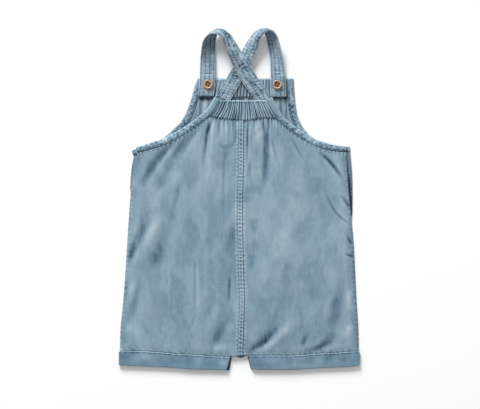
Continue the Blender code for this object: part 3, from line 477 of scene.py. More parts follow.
def read_smoothly(keys, values, at):
    """A smooth curve through the rows of values, read at any keys; held still past its ends."""
    keys, values = np.asarray(keys, float), np.asarray(values, float)
    at = np.clip(np.asarray(at, float), keys[0], keys[-1])
    last = len(keys) - 1
    before = np.maximum(np.arange(last + 1) - 1, 0)
    after = np.minimum(np.arange(last + 1) + 1, last)
    slopes = (values[after] - values[before]) / (keys[after] - keys[before])[:, None]
    i = np.clip(np.searchsorted(keys, at, side="right") - 1, 0, last - 1)
    step = (keys[i + 1] - keys[i])[..., None]
    t = (at - keys[i])[..., None] / step
    return (
        values[i] * (2 * t**3 - 3 * t**2 + 1)
        + slopes[i] * step * (t**3 - 2 * t**2 + t)
        + values[i + 1] * (3 * t**2 - 2 * t**3)
        + slopes[i + 1] * step * (t**3 - t**2)
    )


def read_table(rows, column, at):
    """One column of a table whose first column rises or falls steadily."""
    ordered = np.array(sorted(rows))
    return read_smoothly(ordered[:, 0], ordered[:, column:column + 1], at)[..., 0]


class Line:
    """A smooth line through a table's rows, read from 0 at its start to 1 at its end."""

    def __init__(self, rows, length_columns=2):
        self.rows = np.asarray(rows, float)
        steps = np.linalg.norm(np.diff(self.rows[:, :length_columns], axis=0), axis=1)
        self.length = steps.sum()
        self.keys = np.concatenate([[0.0], np.cumsum(steps)]) / self.length

    def at(self, u):
        """The table's columns at a share of the way along."""
        return read_smoothly(self.keys, self.rows, u)

    def beside(self, u, offset):
        """Points that lie offset to the left of the line's walk."""
        u, offset = np.broadcast_arrays(np.asarray(u, float), np.asarray(offset, float))
        walk = self.at(u + 0.01)[..., :2] - self.at(u - 0.01)[..., :2]
        walk /= np.linalg.norm(walk, axis=-1, keepdims=True)
        aside = np.stack([-walk[..., 1], walk[..., 0]], axis=-1)
        return self.at(u)[..., :2] + aside * offset[..., None]


def uneven(x, y, seed):
    """Soft random heights from -1 to 1, one for each unit square, the same on each run."""
    cell_x, cell_y = np.floor(x).astype(np.int64), np.floor(y).astype(np.int64)
    in_x, in_y = x - cell_x, y - cell_y

    def corner(step_x, step_y):
        # large odd numbers mix the corner's place and the seed
        mixed = (cell_x + step_x) * 374761393 + (cell_y + step_y) * 668265263 + seed * 974634777
        mixed = (mixed ^ ((mixed & 0xFFFFFFFF) >> 13)) * 1274126177
        return (((mixed & 0xFFFFFFFF) >> 16) & 0xFFFF) / 32767.5 - 1.0

    soft_x = in_x**3 * (in_x * (in_x * 6.0 - 15.0) + 10.0)
    soft_y = in_y**3 * (in_y * (in_y * 6.0 - 15.0) + 10.0)
    low = corner(0, 0) + (corner(1, 0) - corner(0, 0)) * soft_x
    high = corner(0, 1) + (corner(1, 1) - corner(0, 1)) * soft_x
    return low + (high - low) * soft_y


def crumple(x, y, seed):
    """The cloth's slight general unevenness."""
    return sum(height * uneven(x / across, y / along, seed + number)
               for number, (height, across, along) in enumerate(CRUMPLES))


def puckers(along, aside, reach, seed, pitch=PUCKER_PITCH, slant=0.0):
    """Small ridges that a row of stitches draws up: 1 high beside the row and gone beyond reach."""
    drift = 0.55 * uneven(along / (2.7 * pitch), along * 0.0, seed)
    size = 0.72 + 0.45 * uneven(along / (1.6 * pitch), along * 0.0 + 0.5, seed + 7)
    wave = np.cos(2.0 * math.pi * (along / pitch + drift + slant * aside / reach))
    return size * wave * bump(aside, reach)


def stand_out(height, reach):
    """How much each point of a grid of heights stands over the points about it."""
    near = height.copy()
    for axis in (0, 1):
        size = near.shape[axis]
        padded = np.concatenate([np.take(near, [0] * reach, axis), near,
                                 np.take(near, [size - 1] * reach, axis)], axis)
        total = np.cumsum(padded, axis)
        total = np.concatenate([np.zeros_like(np.take(total, [0], axis)), total], axis)
        span = 2 * reach + 1
        near = (np.take(total, np.arange(span, span + size), axis)
                - np.take(total, np.arange(size), axis)) / span
    return height - near


def facing(grid):
    """The way each point of a grid faces, as unit vectors."""
    down = np.gradient(grid, axis=0)
    across = np.gradient(grid, axis=1)
    out = np.cross(across, down)
    return out / np.maximum(np.linalg.norm(out, axis=-1, keepdims=True), 1e-9)


def cloth_lengths(grid):
    """Each point's place on the flat cloth, across and along, in metres."""
    across = np.linalg.norm(np.diff(grid, axis=1), axis=-1).mean(axis=0)
    along = np.linalg.norm(np.diff(grid, axis=0), axis=-1).mean(axis=1)
    u = np.concatenate([[0.0], np.cumsum(across)])
    v = np.concatenate([[0.0], np.cumsum(along)])
    return np.stack(np.broadcast_arrays(u[None, :], v[:, None]), axis=-1) * MM


def new_object(name, points, faces, finish, uv=None, worn=None):
    """A mesh object from points in millimetres, with its place on the cloth and its rubbing, painted
    light and painted shade.
    """
    mesh = bpy.data.meshes.new(name)
    mesh.from_pydata(((points + (0.0, SHIFT_Y, 0.0)) * MM).tolist(), [], faces)
    mesh.materials.append(finish)
    if uv is not None:
        corner_points = np.empty(len(mesh.loops), np.int32)
        mesh.loops.foreach_get("vertex_index", corner_points)
        layer = mesh.uv_layers.new(name="UVMap")
        layer.data.foreach_set("uv", uv[corner_points].astype(np.float32).ravel())
    if worn is not None:
        layer = mesh.attributes.new("worn", "FLOAT", "POINT")
        layer.data.foreach_set("value", worn.astype(np.float32).ravel())
    mesh.shade_smooth()
    made = bpy.data.objects.new(name, mesh)
    bpy.context.scene.collection.objects.link(made)
    return made


def grid_faces(rows, columns, start, step_across, flip=False):
    """Four-sided faces between the neighbours of a grid whose columns may close on themselves."""
    row, column = np.meshgrid(np.arange(rows - 1), np.arange(step_across), indexing="ij")
    a = start + row * columns + column
    b = start + row * columns + (column + 1) % columns
    faces = np.stack([a, b, b + columns, a + columns], axis=-1).reshape(-1, 4)
    return faces[:, ::-1] if flip else faces


def make_shell(name, over, under, finish, worn=None, round_it=False, uv=None):
    """A closed sheet of cloth between an outer and an inner grid of points."""
    rows, columns = over.shape[:2]
    count = rows * columns
    reach = columns if round_it else columns - 1
    faces = [grid_faces(rows, columns, 0, reach), grid_faces(rows, columns, count, reach, flip=True)]
    index = np.arange(count).reshape(rows, columns)
    if round_it:
        rims = [np.append(index[0], index[0, 0]), np.append(index[-1], index[-1, 0])[::-1]]
    else:
        rims = [np.concatenate([index[0, :-1], index[:-1, -1], index[-1, :0:-1], index[:, 0][::-1]])]
    for rim in rims:
        faces.append(np.stack([rim[1:], rim[:-1], rim[:-1] + count, rim[1:] + count], axis=-1))
    points = np.concatenate([over.reshape(-1, 3), under.reshape(-1, 3)])
    place = cloth_lengths(over) if uv is None else uv
    shell_marks = np.zeros((rows, columns)) if worn is None else worn
    both = np.concatenate([place.reshape(-1, 2)] * 2)
    # the inner faces are drawn a little darker
    shell_marks = np.concatenate([shell_marks.ravel(), np.full(count, -0.3)])
    return new_object(name, points, np.concatenate(faces).tolist(), finish, both, shell_marks)


def settle(piece, node):
    """Ride the body and stand for the solid."""
    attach(piece, "root")
    if node:
        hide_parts(node)
    return piece


# ---- stitching ----------------------------------------------------------------------------------
GRIDS = {}                  # the outer points of each piece, on which threads are laid


def on_grid(grid, row, column):
    """Points of a grid read between its rows and columns, given as shares from 0 to 1."""
    rows, columns = grid.shape[:2]
    r = np.clip(row, 0.0, 1.0) * (rows - 1)
    c = np.clip(column, 0.0, 1.0) * (columns - 1)
    i, j = np.minimum(r.astype(int), rows - 2), np.minimum(c.astype(int), columns - 2)
    r, c = (r - i)[..., None], (c - j)[..., None]
    return ((grid[i, j] * (1 - c) + grid[i, j + 1] * c) * (1 - r)
            + (grid[i + 1, j] * (1 - c) + grid[i + 1, j + 1] * c) * r)


def stitch_row(name, row, column, length, gap, waver=0.0, seed=1):
    """Stitches along a path on a piece's grid: some places along each, and the way up at each."""
    grid = GRIDS[name]
    row, column = np.broadcast_arrays(np.asarray(row, float), np.asarray(column, float))
    path = on_grid(grid, row, column)
    run = np.concatenate([[0.0], np.cumsum(np.linalg.norm(np.diff(path, axis=0), axis=1))])
    count = max(1, int(run[-1] / (length + gap)))
    rng = random.Random(seed)
    starts = (np.arange(count) + 0.15) * run[-1] / count
    starts = starts + np.array([rng.uniform(-0.08, 0.08) for _ in range(count)]) * length
    places = starts[:, None] + np.linspace(0.0, 1.0, STITCH_PLACES)[None, :] * length
    share = np.interp(places, run, np.linspace(0.0, 1.0, len(run)))
    steps = np.linspace(0.0, 1.0, len(row))
    r, c = np.interp(share, steps, row), np.interp(share, steps, column)
    if waver:
        c = c + waver * uneven(places / 9.0, places * 0.0, seed)
    return on_grid(grid, r, c), on_grid(facing(grid), r, c)


def make_threads(name, stitches, radius, finish):
    """All the stitches of a kind as one mesh: short rounded bars whose ends dip into the cloth."""
    centres = np.concatenate([s[0] for s in stitches])
    ups = np.concatenate([s[1] for s in stitches])
    count = len(centres)
    walk = np.gradient(centres, axis=1)
    walk /= np.linalg.norm(walk, axis=-1, keepdims=True)
    aside = np.cross(walk, ups)
    aside /= np.linalg.norm(aside, axis=-1, keepdims=True)
    # both ends dip into the cloth and are thinner
    lift = np.array([-0.9, 0.35, 0.6, 0.35, -0.9]) * radius
    thick = np.array([0.55, 0.95, 1.0, 0.95, 0.55]) * radius
    turns = np.arange(THREAD_SIDES) * 2.0 * math.pi / THREAD_SIDES
    ring = (aside[:, :, None, :] * np.cos(turns)[None, None, :, None]
            + ups[:, :, None, :] * np.sin(turns)[None, None, :, None] * 0.8)
    points = (centres + ups * lift[None, :, None])[:, :, None, :] + ring * thick[None, :, None, None]
    size = STITCH_PLACES * THREAD_SIDES
    one = grid_faces(STITCH_PLACES, THREAD_SIDES, 0, THREAD_SIDES)
    faces = (one[None] + (np.arange(count) * size)[:, None, None]).reshape(-1, 4).tolist()
    ends = [list(range(THREAD_SIDES))[::-1], list(range(size - THREAD_SIDES, size))]
    for start in range(0, count * size, size):
        faces.extend([start + i for i in end] for end in ends)
    shape = (count, STITCH_PLACES, THREAD_SIDES)
    along = np.broadcast_to(np.arange(STITCH_PLACES)[None, :, None] * 0.0006, shape)
    uv = np.stack([np.broadcast_to(turns[None, None] * 0.0003, shape), along], axis=-1)
    return new_object(name, points.reshape(-1, 3), faces, finish, uv.reshape(-1, 2),
                      np.zeros(count * size))


# ---- plans of the pieces ------------------------------------------------------------------------
def back_line(side):
    """The middle of a back binding, from the casing to the side."""
    return Line(BACK_BINDING[side])


def front_line(side):
    """The outer edge of a front binding, from its top to the side."""
    return Line(FRONT_BINDING[side])


def casing_corner(side):
    """Where the casing's seam meets a binding, and how far along the binding that is."""
    line, u = back_line(side), CASING_CORNER[side]
    return line.beside(u, -side * (BACK_BINDING_WIDTH / 2.0 + BINDING_GAP)), u


def casing_seam():
    """The foot of the back's casing, from one binding to the other."""
    return Line([casing_corner(LEFT)[0]] + BACK_CASING_SEAM + [casing_corner(RIGHT)[0]])


def back_top_edge(side, s):
    """The back's upper edge from the centre seam (0) past the casing's corner to the side (1)."""
    end = 0.0 if side < 0 else 1.0
    along = CASING_SEAM_MIDDLE + (end - CASING_SEAM_MIDDLE) * np.clip(s / BACK_CORNER_SHARE, 0.0, 1.0)
    below = casing_seam().at(along)[..., :2] - (0.0, SEAM_GAP)
    corner_u = casing_corner(side)[1]
    past = np.clip((s - BACK_CORNER_SHARE) / (1.0 - BACK_CORNER_SHARE), 0.0, 1.0)
    beside = back_line(side).beside(corner_u + (1.0 - corner_u) * past,
                                    -side * (BACK_BINDING_WIDTH / 2.0 + BINDING_GAP))
    return np.where((s <= BACK_CORNER_SHARE)[..., None], below, beside)


def front_inner_edge(side, u):
    """Where the front's panel meets its binding."""
    return front_line(side).beside(u, -side * (FRONT_BINDING_WIDTH + BINDING_GAP))


def front_edge_at(side, height):
    """The place on the front binding's inner edge at a height, and how far along it is."""
    u = np.linspace(0.0, 0.6, 800)
    edge = front_inner_edge(side, u)
    share = np.interp(-np.asarray(height), -edge[:, 1], u)
    return front_inner_edge(side, share), share


def front_top_edge(side, s):
    """The front's upper edge from the centre seam (0) past the casing's corner to the side (1)."""
    (corner_x, corner_y), corner_u = front_edge_at(side, FRONT_CASING_FOOT_Y - SEAM_GAP)
    inner = SEAM_X + (corner_x - SEAM_X) * np.minimum(s / FRONT_CORNER_SHARE, 1.0)
    past = np.clip((s - FRONT_CORNER_SHARE) / (1.0 - FRONT_CORNER_SHARE), 0.0, 1.0)
    beside = front_inner_edge(side, corner_u + (1.0 - corner_u) * past)
    below = np.stack([inner, np.full_like(inner, corner_y)], axis=-1)
    return np.where((s <= FRONT_CORNER_SHARE)[..., None], below, beside)


def panel_plan(side, s, t, top_edge, side_column):
    """Places on a half panel, for s from the centre seam to the side and t from the hem to the top."""
    def ruled(s):
        top = top_edge(side, s)
        foot_x = SEAM_X + side * (s * (HEM_HALF_WIDTH - side * SEAM_X) + SEAM_GAP / 2.0)
        foot = np.stack([foot_x, read_table(HEM[side], 1, foot_x) + CUFF_GAP], axis=-1)
        return foot + (top - foot) * t[..., None]

    s, t = np.broadcast_arrays(s, t)
    place, edge, seam = ruled(s), ruled(np.ones_like(s)), ruled(np.zeros_like(s))
    true_edge = read_table(SIDES, side_column, edge[..., 1])
    true_seam = read_table(SEAM, 1, seam[..., 1]) + side * SEAM_GAP / 2.0
    place[..., 0] += (true_edge - edge[..., 0]) * s**3 * (1.0 - t**12)
    place[..., 0] += (true_seam - seam[..., 0]) * (1.0 - s) ** 6
    return place


def fold_height(x, y, folds, strength=1.0):
    """How far a table of folds raises or sinks the cloth."""
    total = np.zeros_like(x)
    for start_x, start_y, end_x, end_y, bow, start_width, end_width, height in folds:
        run_x, run_y = end_x - start_x, end_y - start_y
        run = math.hypot(run_x, run_y)
        along = ((x - start_x) * run_x + (y - start_y) * run_y) / run**2
        aside = ((x - start_x) * run_y - (y - start_y) * run_x) / run
        aside = aside - bow * (1.0 - (2.0 * along - 1.0) ** 2)
        width = start_width + (end_width - start_width) * np.clip(along, 0.0, 1.0)
        ends = smooth_step((along + FOLD_BEFORE) / FOLD_RISE)
        ends = ends * smooth_step((1.0 + FOLD_PAST - along) / FOLD_FADE)
        total += height * ends * np.exp(-abs(aside / (FOLD_SPREAD * width)) ** FOLD_CRISPNESS)
    return total * strength


def bubble_height(x, y):
    """The cloth's rounded bubble left of the seam, with a crease round its foot."""
    reach_x = (x - BUBBLE_X + 1.5 * uneven(y / 9.0, x / 9.0, 3)) / BUBBLE_WIDE
    reach_y = (y - BUBBLE_Y) / BUBBLE_HIGH
    off = np.hypot(reach_x, reach_y)
    low_right = smooth_step((0.75 * reach_x - reach_y + 0.35 * off) / off.clip(0.2) / 1.2)
    broken = 0.6 + 0.4 * uneven(x / 8.0, y / 8.0, 5)
    return 0.5 * smooth_step((1.1 - off) / 0.8) - 0.5 * broken * bump(off - 1.1, 0.2) * low_right


def side_closed(side, y):
    """1 where the back and the front are sewn together at the side, 0 where the side is open."""
    return smooth_step((SIDE_OPEN_Y[side] - y) / SIDE_OPEN_REACH)


def back_level(side, s, t, plan, fold_strength):
    """Height of the back's lower face over the surface."""
    x, y = plan[..., 0], plan[..., 1]
    from_side = (1.0 - s) * PANEL_HALF_WIDTH
    from_top, from_foot = (1.0 - t) * PANEL_HEIGHT, t * PANEL_HEIGHT
    under_casing = s < BACK_CORNER_SHARE
    soft = fold_height(x, y, FOLDS, fold_strength) + bubble_height(x, y) + crumple(x, y, 11 + side)
    puff = CROWN * smooth_step((from_side + EDGE_PUFF) / CROWN_REACH)
    puff = puff + soft * smooth_step((from_side + EDGE_FOLD) / EDGE_FOLD_REACH)
    at_top = bump(from_top, TOP_REACH)
    at_foot = bump(from_foot, HEM_REACH)
    at_foot = at_foot * smooth_step((abs(x - SEAM_X) - CROTCH_OPEN) / CROTCH_OPEN_REACH)
    level = BACK_EDGE_Z + puff
    level = level + (BACK_TOP_Z - level) * at_top * np.where(under_casing, TOP_SHARE_AT_CASING, 1.0)
    level = level + (HEM_Z - level) * at_foot
    lift = (BACK_BINDING_Z - BACK_EDGE_Z) * bump(from_top, LIFT_REACH)
    return np.maximum(level, BACK_EDGE_Z + np.where(under_casing, 0.0, lift))


# ---- the back -----------------------------------------------------------------------------------
def graded(count, power):
    """Steps from 0 to 1 that get closer towards 1, the more so the higher the power."""
    return 1.0 - (1.0 - np.linspace(0.0, 1.0, count)) ** power


def gathers_under_casing(s, below_top, side):
    """Uneven gathers down from the casing: many that are soon gone, and fewer that run on."""
    reach = below_top / 15.0
    many = uneven(s * 74.0 + 0.3 * uneven(reach, s, 5), reach * 0.5, 21 + side)
    fewer = 0.8 * uneven(s * 31.0, reach * 0.3, 31 + side)
    return many * np.exp(-below_top / 9.0) + fewer * np.exp(-below_top / 26.0)


def back_rubbing_and_shade(x, y, low, relief, from_side):
    """Where the back is paler (over 0) and darker (under 0): rubbed pale where it stands out and at its
    side, painted shade in its hollows.
    """
    worn = stand_out(low + relief, 4) / STAND_OUT_STEP["back"]
    worn = worn + stand_out(relief, 2) / STAND_OUT_STEP["back_gathers"]
    folds = fold_height(x, y, FOLDS) + bubble_height(x, y)
    # the folds' ridges paler and their troughs darker: partly rubbing, partly painted light and shade
    worn = np.clip(worn, -1.5, 1.3) + 0.62 * np.clip(folds, -1.6, 1.4) + 0.5 * bump(from_side, 1.2)
    for middle_x, middle_y, reach, height in WASHED_AREAS:
        worn = worn + height * bump(np.hypot(x - middle_x, y - middle_y), reach)
    return worn


def build_back(side, cloth, finish):
    """Half of the back, with its folds, the gathers under the casing and the seams' puckers."""
    s = np.linspace(0.0, 1.0, BACK_POINTS[1])[None, :]
    t = graded(BACK_POINTS[0], 1.3)[:, None]
    plan = panel_plan(side, s, t, back_top_edge, 1 if side < 0 else 2)
    s, t = np.broadcast_arrays(s, t)
    x, y = plan[..., 0], plan[..., 1]
    low = back_level(side, s, t, plan, cloth.fold_strength)
    top = plan[-1:, :, :]
    below_top = np.linalg.norm(top - plan, axis=-1)
    under_casing = smooth_step((BACK_CORNER_SHARE + 0.03 - s) / 0.05)
    relief = 0.75 * gathers_under_casing(s, below_top, side) * under_casing
    # puckers beside the binding and the dents of its stitches
    from_binding, along_binding = below_top * BINDING_SLOPE, s * PANEL_HALF_WIDTH
    relief += 0.2 * puckers(along_binding, from_binding, 4.2, 41 + side) * (1.0 - under_casing)
    dashes = 0.45 + 0.55 * np.cos(2.0 * math.pi * along_binding / DENT_PITCH)
    relief -= 0.26 * bump(from_binding - 2.7, 0.8) * dashes * (1.0 - under_casing)
    # puckers beside the centre seam, whose allowance lifts the cloth
    seam_x = read_table(SEAM, 1, y)
    relief += 0.22 * puckers(y, abs(x - seam_x) - FELL_WIDTH / 2.0, 2.6, 51)
    relief += 0.14 * bump(abs(x - seam_x) - 5.6, 1.5)
    # puckers above the cuff and along the side
    above_cuff = y - read_table(HEM[side], 1, x)
    wavering = x + 3.0 * uneven(x / 11.0, y, 7)
    relief += 0.12 * puckers(wavering, above_cuff, 4.6, 61 + side, pitch=9.5, slant=0.4)
    from_side = (1.0 - s) * PANEL_HALF_WIDTH
    relief += 0.1 * puckers(y, from_side, 3.4, 71 + side, pitch=7.0) * (1.0 - t**8)
    relief *= cloth.pucker_height / MM
    # down to the front where the side is sewn
    closed = side_closed(side, y) * smooth_step(from_side * -0.4 + 1.0)
    over = np.dstack([x, y, low + CLOTH + relief])
    under = np.dstack([x, y, np.maximum(low + 0.5 * relief, BACK_EDGE_Z - 0.15)])
    over[..., 2] -= (over[..., 2] - 0.95) * closed
    under[..., 2] -= (under[..., 2] - 0.06) * closed
    worn = back_rubbing_and_shade(x, y, low, relief, from_side)
    name = "back_panel_" + NAME_OF[side]
    GRIDS[name] = over
    return settle(make_shell(name, over, under, finish, worn), "back_" + NAME_OF[side])


def build_seam(cloth, finish):
    """The felled seam down the middle, laid on the points of both halves."""
    t = np.linspace(0.0, 1.0, SEAM_POINTS[0])[:, None]
    across = np.linspace(-1.0, 1.0, SEAM_POINTS[1])[None, :]
    offset = across * FELL_WIDTH / 2.0
    halves = {}
    for side in (LEFT, RIGHT):
        width = 112.0 + 50.0 * (1.0 - t)        # of a half, as its plan spreads near the seam
        s = np.clip((side * offset - SEAM_GAP / 2.0) / width, 0.0, 1.0)
        plan = panel_plan(side, s, t, back_top_edge, 1 if side < 0 else 2)
        s, tt = np.broadcast_arrays(s, t)
        halves[side] = np.dstack([plan, back_level(side, s, tt, plan, cloth.fold_strength)])
    base = np.where((offset < 0.0)[..., None], halves[LEFT], halves[RIGHT])
    y = base[..., 1]
    x = read_table(SEAM, 1, y) + offset
    a = np.broadcast_to(across, y.shape)
    # hollow down its middle, a roll on each side and a dent under each stitch row
    arch = 0.72 - 0.14 * bump(a, 0.3) + 0.3 * bump(abs(a) - 0.6, 0.22)
    arch = arch - 0.34 * bump(abs(a) - SEAM_ROWS[1], 0.1)
    rungs = puckers(y + 0.9 * uneven(a * 1.5, y / 4.0, 85), a, 1.2, 81, pitch=5.1, slant=0.12)
    relief = (0.4 * rungs + 0.1 * uneven(a * 2.0, y / 3.0, 83)) * smooth_step((118.0 - y) / 30.0)
    relief *= (1.0 - 0.55 * bump(abs(a) - 1.0, 0.2)) * cloth.pucker_height / MM
    level = base[..., 2] + CLOTH + SEAM_GAP
    over = np.dstack([x, y, level + FELL_THICK * arch + relief])
    under = np.dstack([x, y, level - 0.2])
    worn = np.clip(stand_out(FELL_THICK * arch + relief, 3) / STAND_OUT_STEP["seam"], -2.0, 1.6)
    GRIDS["centre_seam"] = over
    return settle(make_shell("centre_seam", over, under, finish, worn), "back_seam")


def ribs(s, t, grooves, seed):
    """Gathers on elastic: uneven grooves between rounded ribs, 0 on a rib and to -1 in a groove."""
    rng = random.Random(seed)
    height = np.zeros(np.broadcast(s, t).shape)
    pitch = 1.0 / len(grooves)
    for number, (middle, depth) in enumerate(grooves):
        width = rng.uniform(0.16, 0.27) * pitch
        drift, fade = rng.uniform(-0.3, 0.3) * pitch, rng.uniform(-0.4, 0.3)
        deep = depth * np.clip(1.0 + fade * (2.0 * t - 1.0), 0.25, 1.3)
        height -= deep * bump(s - middle - drift * (t - 0.5), width)
        if number % 3 == 0:
            beside = middle + rng.uniform(0.4, 0.6) * pitch
            height -= 0.5 * depth * bump(s - beside, 0.12 * pitch) * smooth_step((0.5 - t) / 0.3)
    return height


def rounded(t, edge, start):
    """A casing's thickness from its foot to its top, as a share of the full one in its middle."""
    return edge + (1.0 - edge) * np.sin(math.pi * np.minimum(t + start, 1.0))


def build_back_casing(cloth, finish):
    """The gathered top of the back: a patch between the seam, both bindings and its own top edge."""
    s = np.linspace(0.0, 1.0, BACK_CASING_POINTS[1])[None, :]
    t = np.linspace(0.0, 1.0, BACK_CASING_POINTS[0])[:, None]
    beside = BACK_BINDING_WIDTH / 2.0 + BINDING_GAP
    ends = {side: back_line(side).beside(CASING_CORNER[side] * (1.0 - t[:, 0]), -side * beside)
            for side in (LEFT, RIGHT)}
    foot = casing_seam().at(s[0])[:, :2]
    top = ends[LEFT][-1] + (ends[RIGHT][-1] - ends[LEFT][-1]) * s[0][:, None]
    place = foot[None] + (top - foot)[None] * t[..., None]
    for side, share in ((LEFT, 1.0 - s), (RIGHT, s)):
        line = ends[side]
        straight = line[0] + (line[-1] - line[0]) * t
        place = place + (line - straight)[:, None, :] * share[..., None]
    between_straps = bump(s - 0.5, BACK_CASING_DIP_WIDTH)
    low = BACK_TOP_Z + (BACK_CASING_TOP_Z - BACK_TOP_Z) * t - BACK_CASING_DIP * between_straps * t
    thick = BACK_CASING_THICK * rounded(t, BACK_CASING_EDGE, BACK_CASING_ROUND)
    rolled = 1.0 - 0.75 * smooth_step((t - 0.86) / 0.1)
    relief = (3.0 * RIB_HEIGHT * ribs(s, t, BACK_GROOVES, 4) + 0.6) * rolled
    relief += 0.22 * uneven(s * 90.0, t * 5.0, 91) + 0.45 * bump(t - 0.945, 0.05)
    relief -= 0.5 * bump(t - 0.03, 0.035) * (0.7 + 0.4 * uneven(s * 60.0, t, 93))
    relief *= cloth.pucker_height / MM
    x, y = place[..., 0], place[..., 1]
    roll = np.sqrt(np.clip((1.0 - t) / 0.06, 0.0, 1.0))
    height = low + (thick + relief) * (0.25 + 0.75 * roll)
    over = np.dstack([x, y, height])
    under = np.dstack([x, y, np.broadcast_to(low, x.shape)])
    # a painted highlight along the rolled top edge
    worn = stand_out(relief, 3) / STAND_OUT_STEP["casing"] - 0.4 + 0.1 * bump(t - 0.95, 0.04)
    worn = np.clip(worn + 0.9 * uneven(s * 21.0, t * 1.2, 95), -2.4, 1.6)
    GRIDS["back_gathers"] = over
    return settle(make_shell("back_gathers", over, under, finish, worn), "back_casing")


# ---- the front ----------------------------------------------------------------------------------
def bib_light_and_shade(side, x, y):
    """The tone of the bib's inside: painted light in its middle, paler in a spot, painted shadow under
    the strap's end.
    """
    middle_light = smooth_step((30.0 - abs(x - BIB_MIDDLE_X)) / 6.0) * smooth_step((y - 131.0) / 4.0)
    strap_end_shadow = smooth_step((13.5 - abs(x - BUTTON_MIDDLE[side])) / 2.0) * smooth_step((y - 137.8) / 2.6)
    spot_x, spot_y = PALE_SPOT[side]
    spot = bump(np.hypot(x - spot_x, 0.6 * (y - spot_y)), 8.0)
    return 0.8 * middle_light - 3.2 * strap_end_shadow + 1.3 * spot


def build_front(side, cloth, finish):
    """Half of the front: flat on the surface, with the folds of its inside where that shows."""
    s = np.linspace(0.0, 1.0, FRONT_POINTS[1])[None, :]
    t = graded(FRONT_POINTS[0], 1.8)[:, None]
    plan = panel_plan(side, s, t, front_top_edge, 3 if side < 0 else 4)
    s, t = np.broadcast_arrays(s, t)
    x, y = plan[..., 0], plan[..., 1]
    from_side = (1.0 - s) * PANEL_HALF_WIDTH
    closed = side_closed(side, y)
    x = x - side * 2.6 * closed * smooth_step(1.0 - from_side / 12.0)
    shows = smooth_step((y - FRONT_SHOWS_Y) / 10.0)
    gather = bump(FRONT_CASING_FOOT_Y - y, 26.0) * smooth_step((0.5 - s) / 0.1)
    relief = 0.5 * gather * (1.0 + uneven(x / 2.6, y / 34.0, 101 + side))
    relief += fold_height(x, y, FRONT_FOLDS) + 0.3 * crumple(x, y, 111) * shows
    slit = smooth_step((y + 25.0) / 12.0) * (1.0 - t**10)
    slit_hem = slit * smooth_step((7.5 - from_side) / 1.2)
    relief += slit_hem * (0.42 + 0.2 * puckers(y, from_side - 3.5, 3.0, 121 + side, pitch=4.6))
    relief = np.maximum(relief * cloth.pucker_height / MM, -0.7)
    relief = np.minimum(relief, np.where(s > 0.62, 0.26, 1.5) + slit_hem)
    y = y - CROTCH_DIP * smooth_step(1.0 - abs(x - SEAM_X) / CROTCH_HALF_WIDTH) * np.exp(-t * 60.0)
    over, under = np.dstack([x, y, CLOTH + relief]), np.dstack([x, y, 0.0 * x])
    worn = np.clip(stand_out(relief, 2) / STAND_OUT_STEP["front"], -1.3, 1.2)
    # painted shade on the hem of the side slit
    worn = worn - SLIT_HEM_SHADE[side] * slit_hem
    # painted shade along the front's foot, where it shows at the crotch, and painted light on what shows
    # of the inside
    worn = worn - 1.6 * np.exp(-t * 40.0) + INSIDE_LIGHT[side] * shows
    worn = worn + bib_light_and_shade(side, x, y)
    if side > 0:
        beyond_back = x - read_table(SIDES, 2, y)
        # painted shade on the strip of the front beside the back's edge
        worn = worn - 3.5 * slit * smooth_step(2.8 - beyond_back)
        worn = worn + 1.1 * slit * bump(beyond_back - 4.6, 1.0) * (0.5 + 0.5 * np.cos(1.4 * y))
    name = "front_panel_" + NAME_OF[side]
    GRIDS[name] = over
    made = make_shell(name, over, under, finish, worn)
    return settle(made, "front_" + NAME_OF[side])


def build_front_casing(cloth, finish):
    """The gathered top of the bib, seen from its inside."""
    s = np.linspace(0.0, 1.0, FRONT_CASING_POINTS[1])[None, :]
    t = np.linspace(0.0, 1.0, FRONT_CASING_POINTS[0])[:, None]
    y = FRONT_CASING_FOOT_Y + (FRONT_CASING_TOP_Y - FRONT_CASING_FOOT_Y) * t
    left = front_edge_at(LEFT, y)[0][..., 0] + SEAM_GAP
    right = front_edge_at(RIGHT, y)[0][..., 0] - SEAM_GAP
    x = left + (right - left) * s
    thick = FRONT_CASING_THICK * rounded(t, FRONT_CASING_EDGE, FRONT_CASING_ROUND)
    rolled = 1.0 - 0.7 * smooth_step((t - 0.86) / 0.1)
    relief = (2.0 * RIB_HEIGHT * ribs(s, t, FRONT_GROOVES, 9) + 0.5) * rolled
    relief += 0.12 * uneven(s * 80.0, t * 4.0, 131) - 0.35 * bump(t - 0.04, 0.035)
    relief = np.clip(relief * cloth.pucker_height / MM, -1.4, 0.75)
    roll = np.sqrt(np.clip((1.0 - t) / 0.07, 0.0, 1.0))
    y, t = np.broadcast_to(y, x.shape), np.broadcast_to(t, x.shape)
    over = np.dstack([x, y, (thick + relief) * (0.2 + 0.8 * roll)])
    under = np.dstack([x, y, 0.0 * x])
    # a painted highlight along the rolled top edge
    worn = stand_out(relief, 3) / STAND_OUT_STEP["casing"] + 0.7 * bump(t - 0.96, 0.04)
    worn = worn + 0.9 * uneven(s * 26.0, t * 1.2, 97)
    # painted shadow along the foot under the straps' ends, away from the middle
    shadowed_beside_middle = smooth_step((abs(x - BIB_MIDDLE_X) - 26.0) / 8.0)
    worn = np.clip(worn, -2.4, 1.7) - 2.0 * bump(y - FRONT_CASING_FOOT_Y, 1.6) * shadowed_beside_middle
    GRIDS["front_gathers"] = over
    made = make_shell("front_gathers", over, under, finish, worn)
    return settle(made, "front_casing")


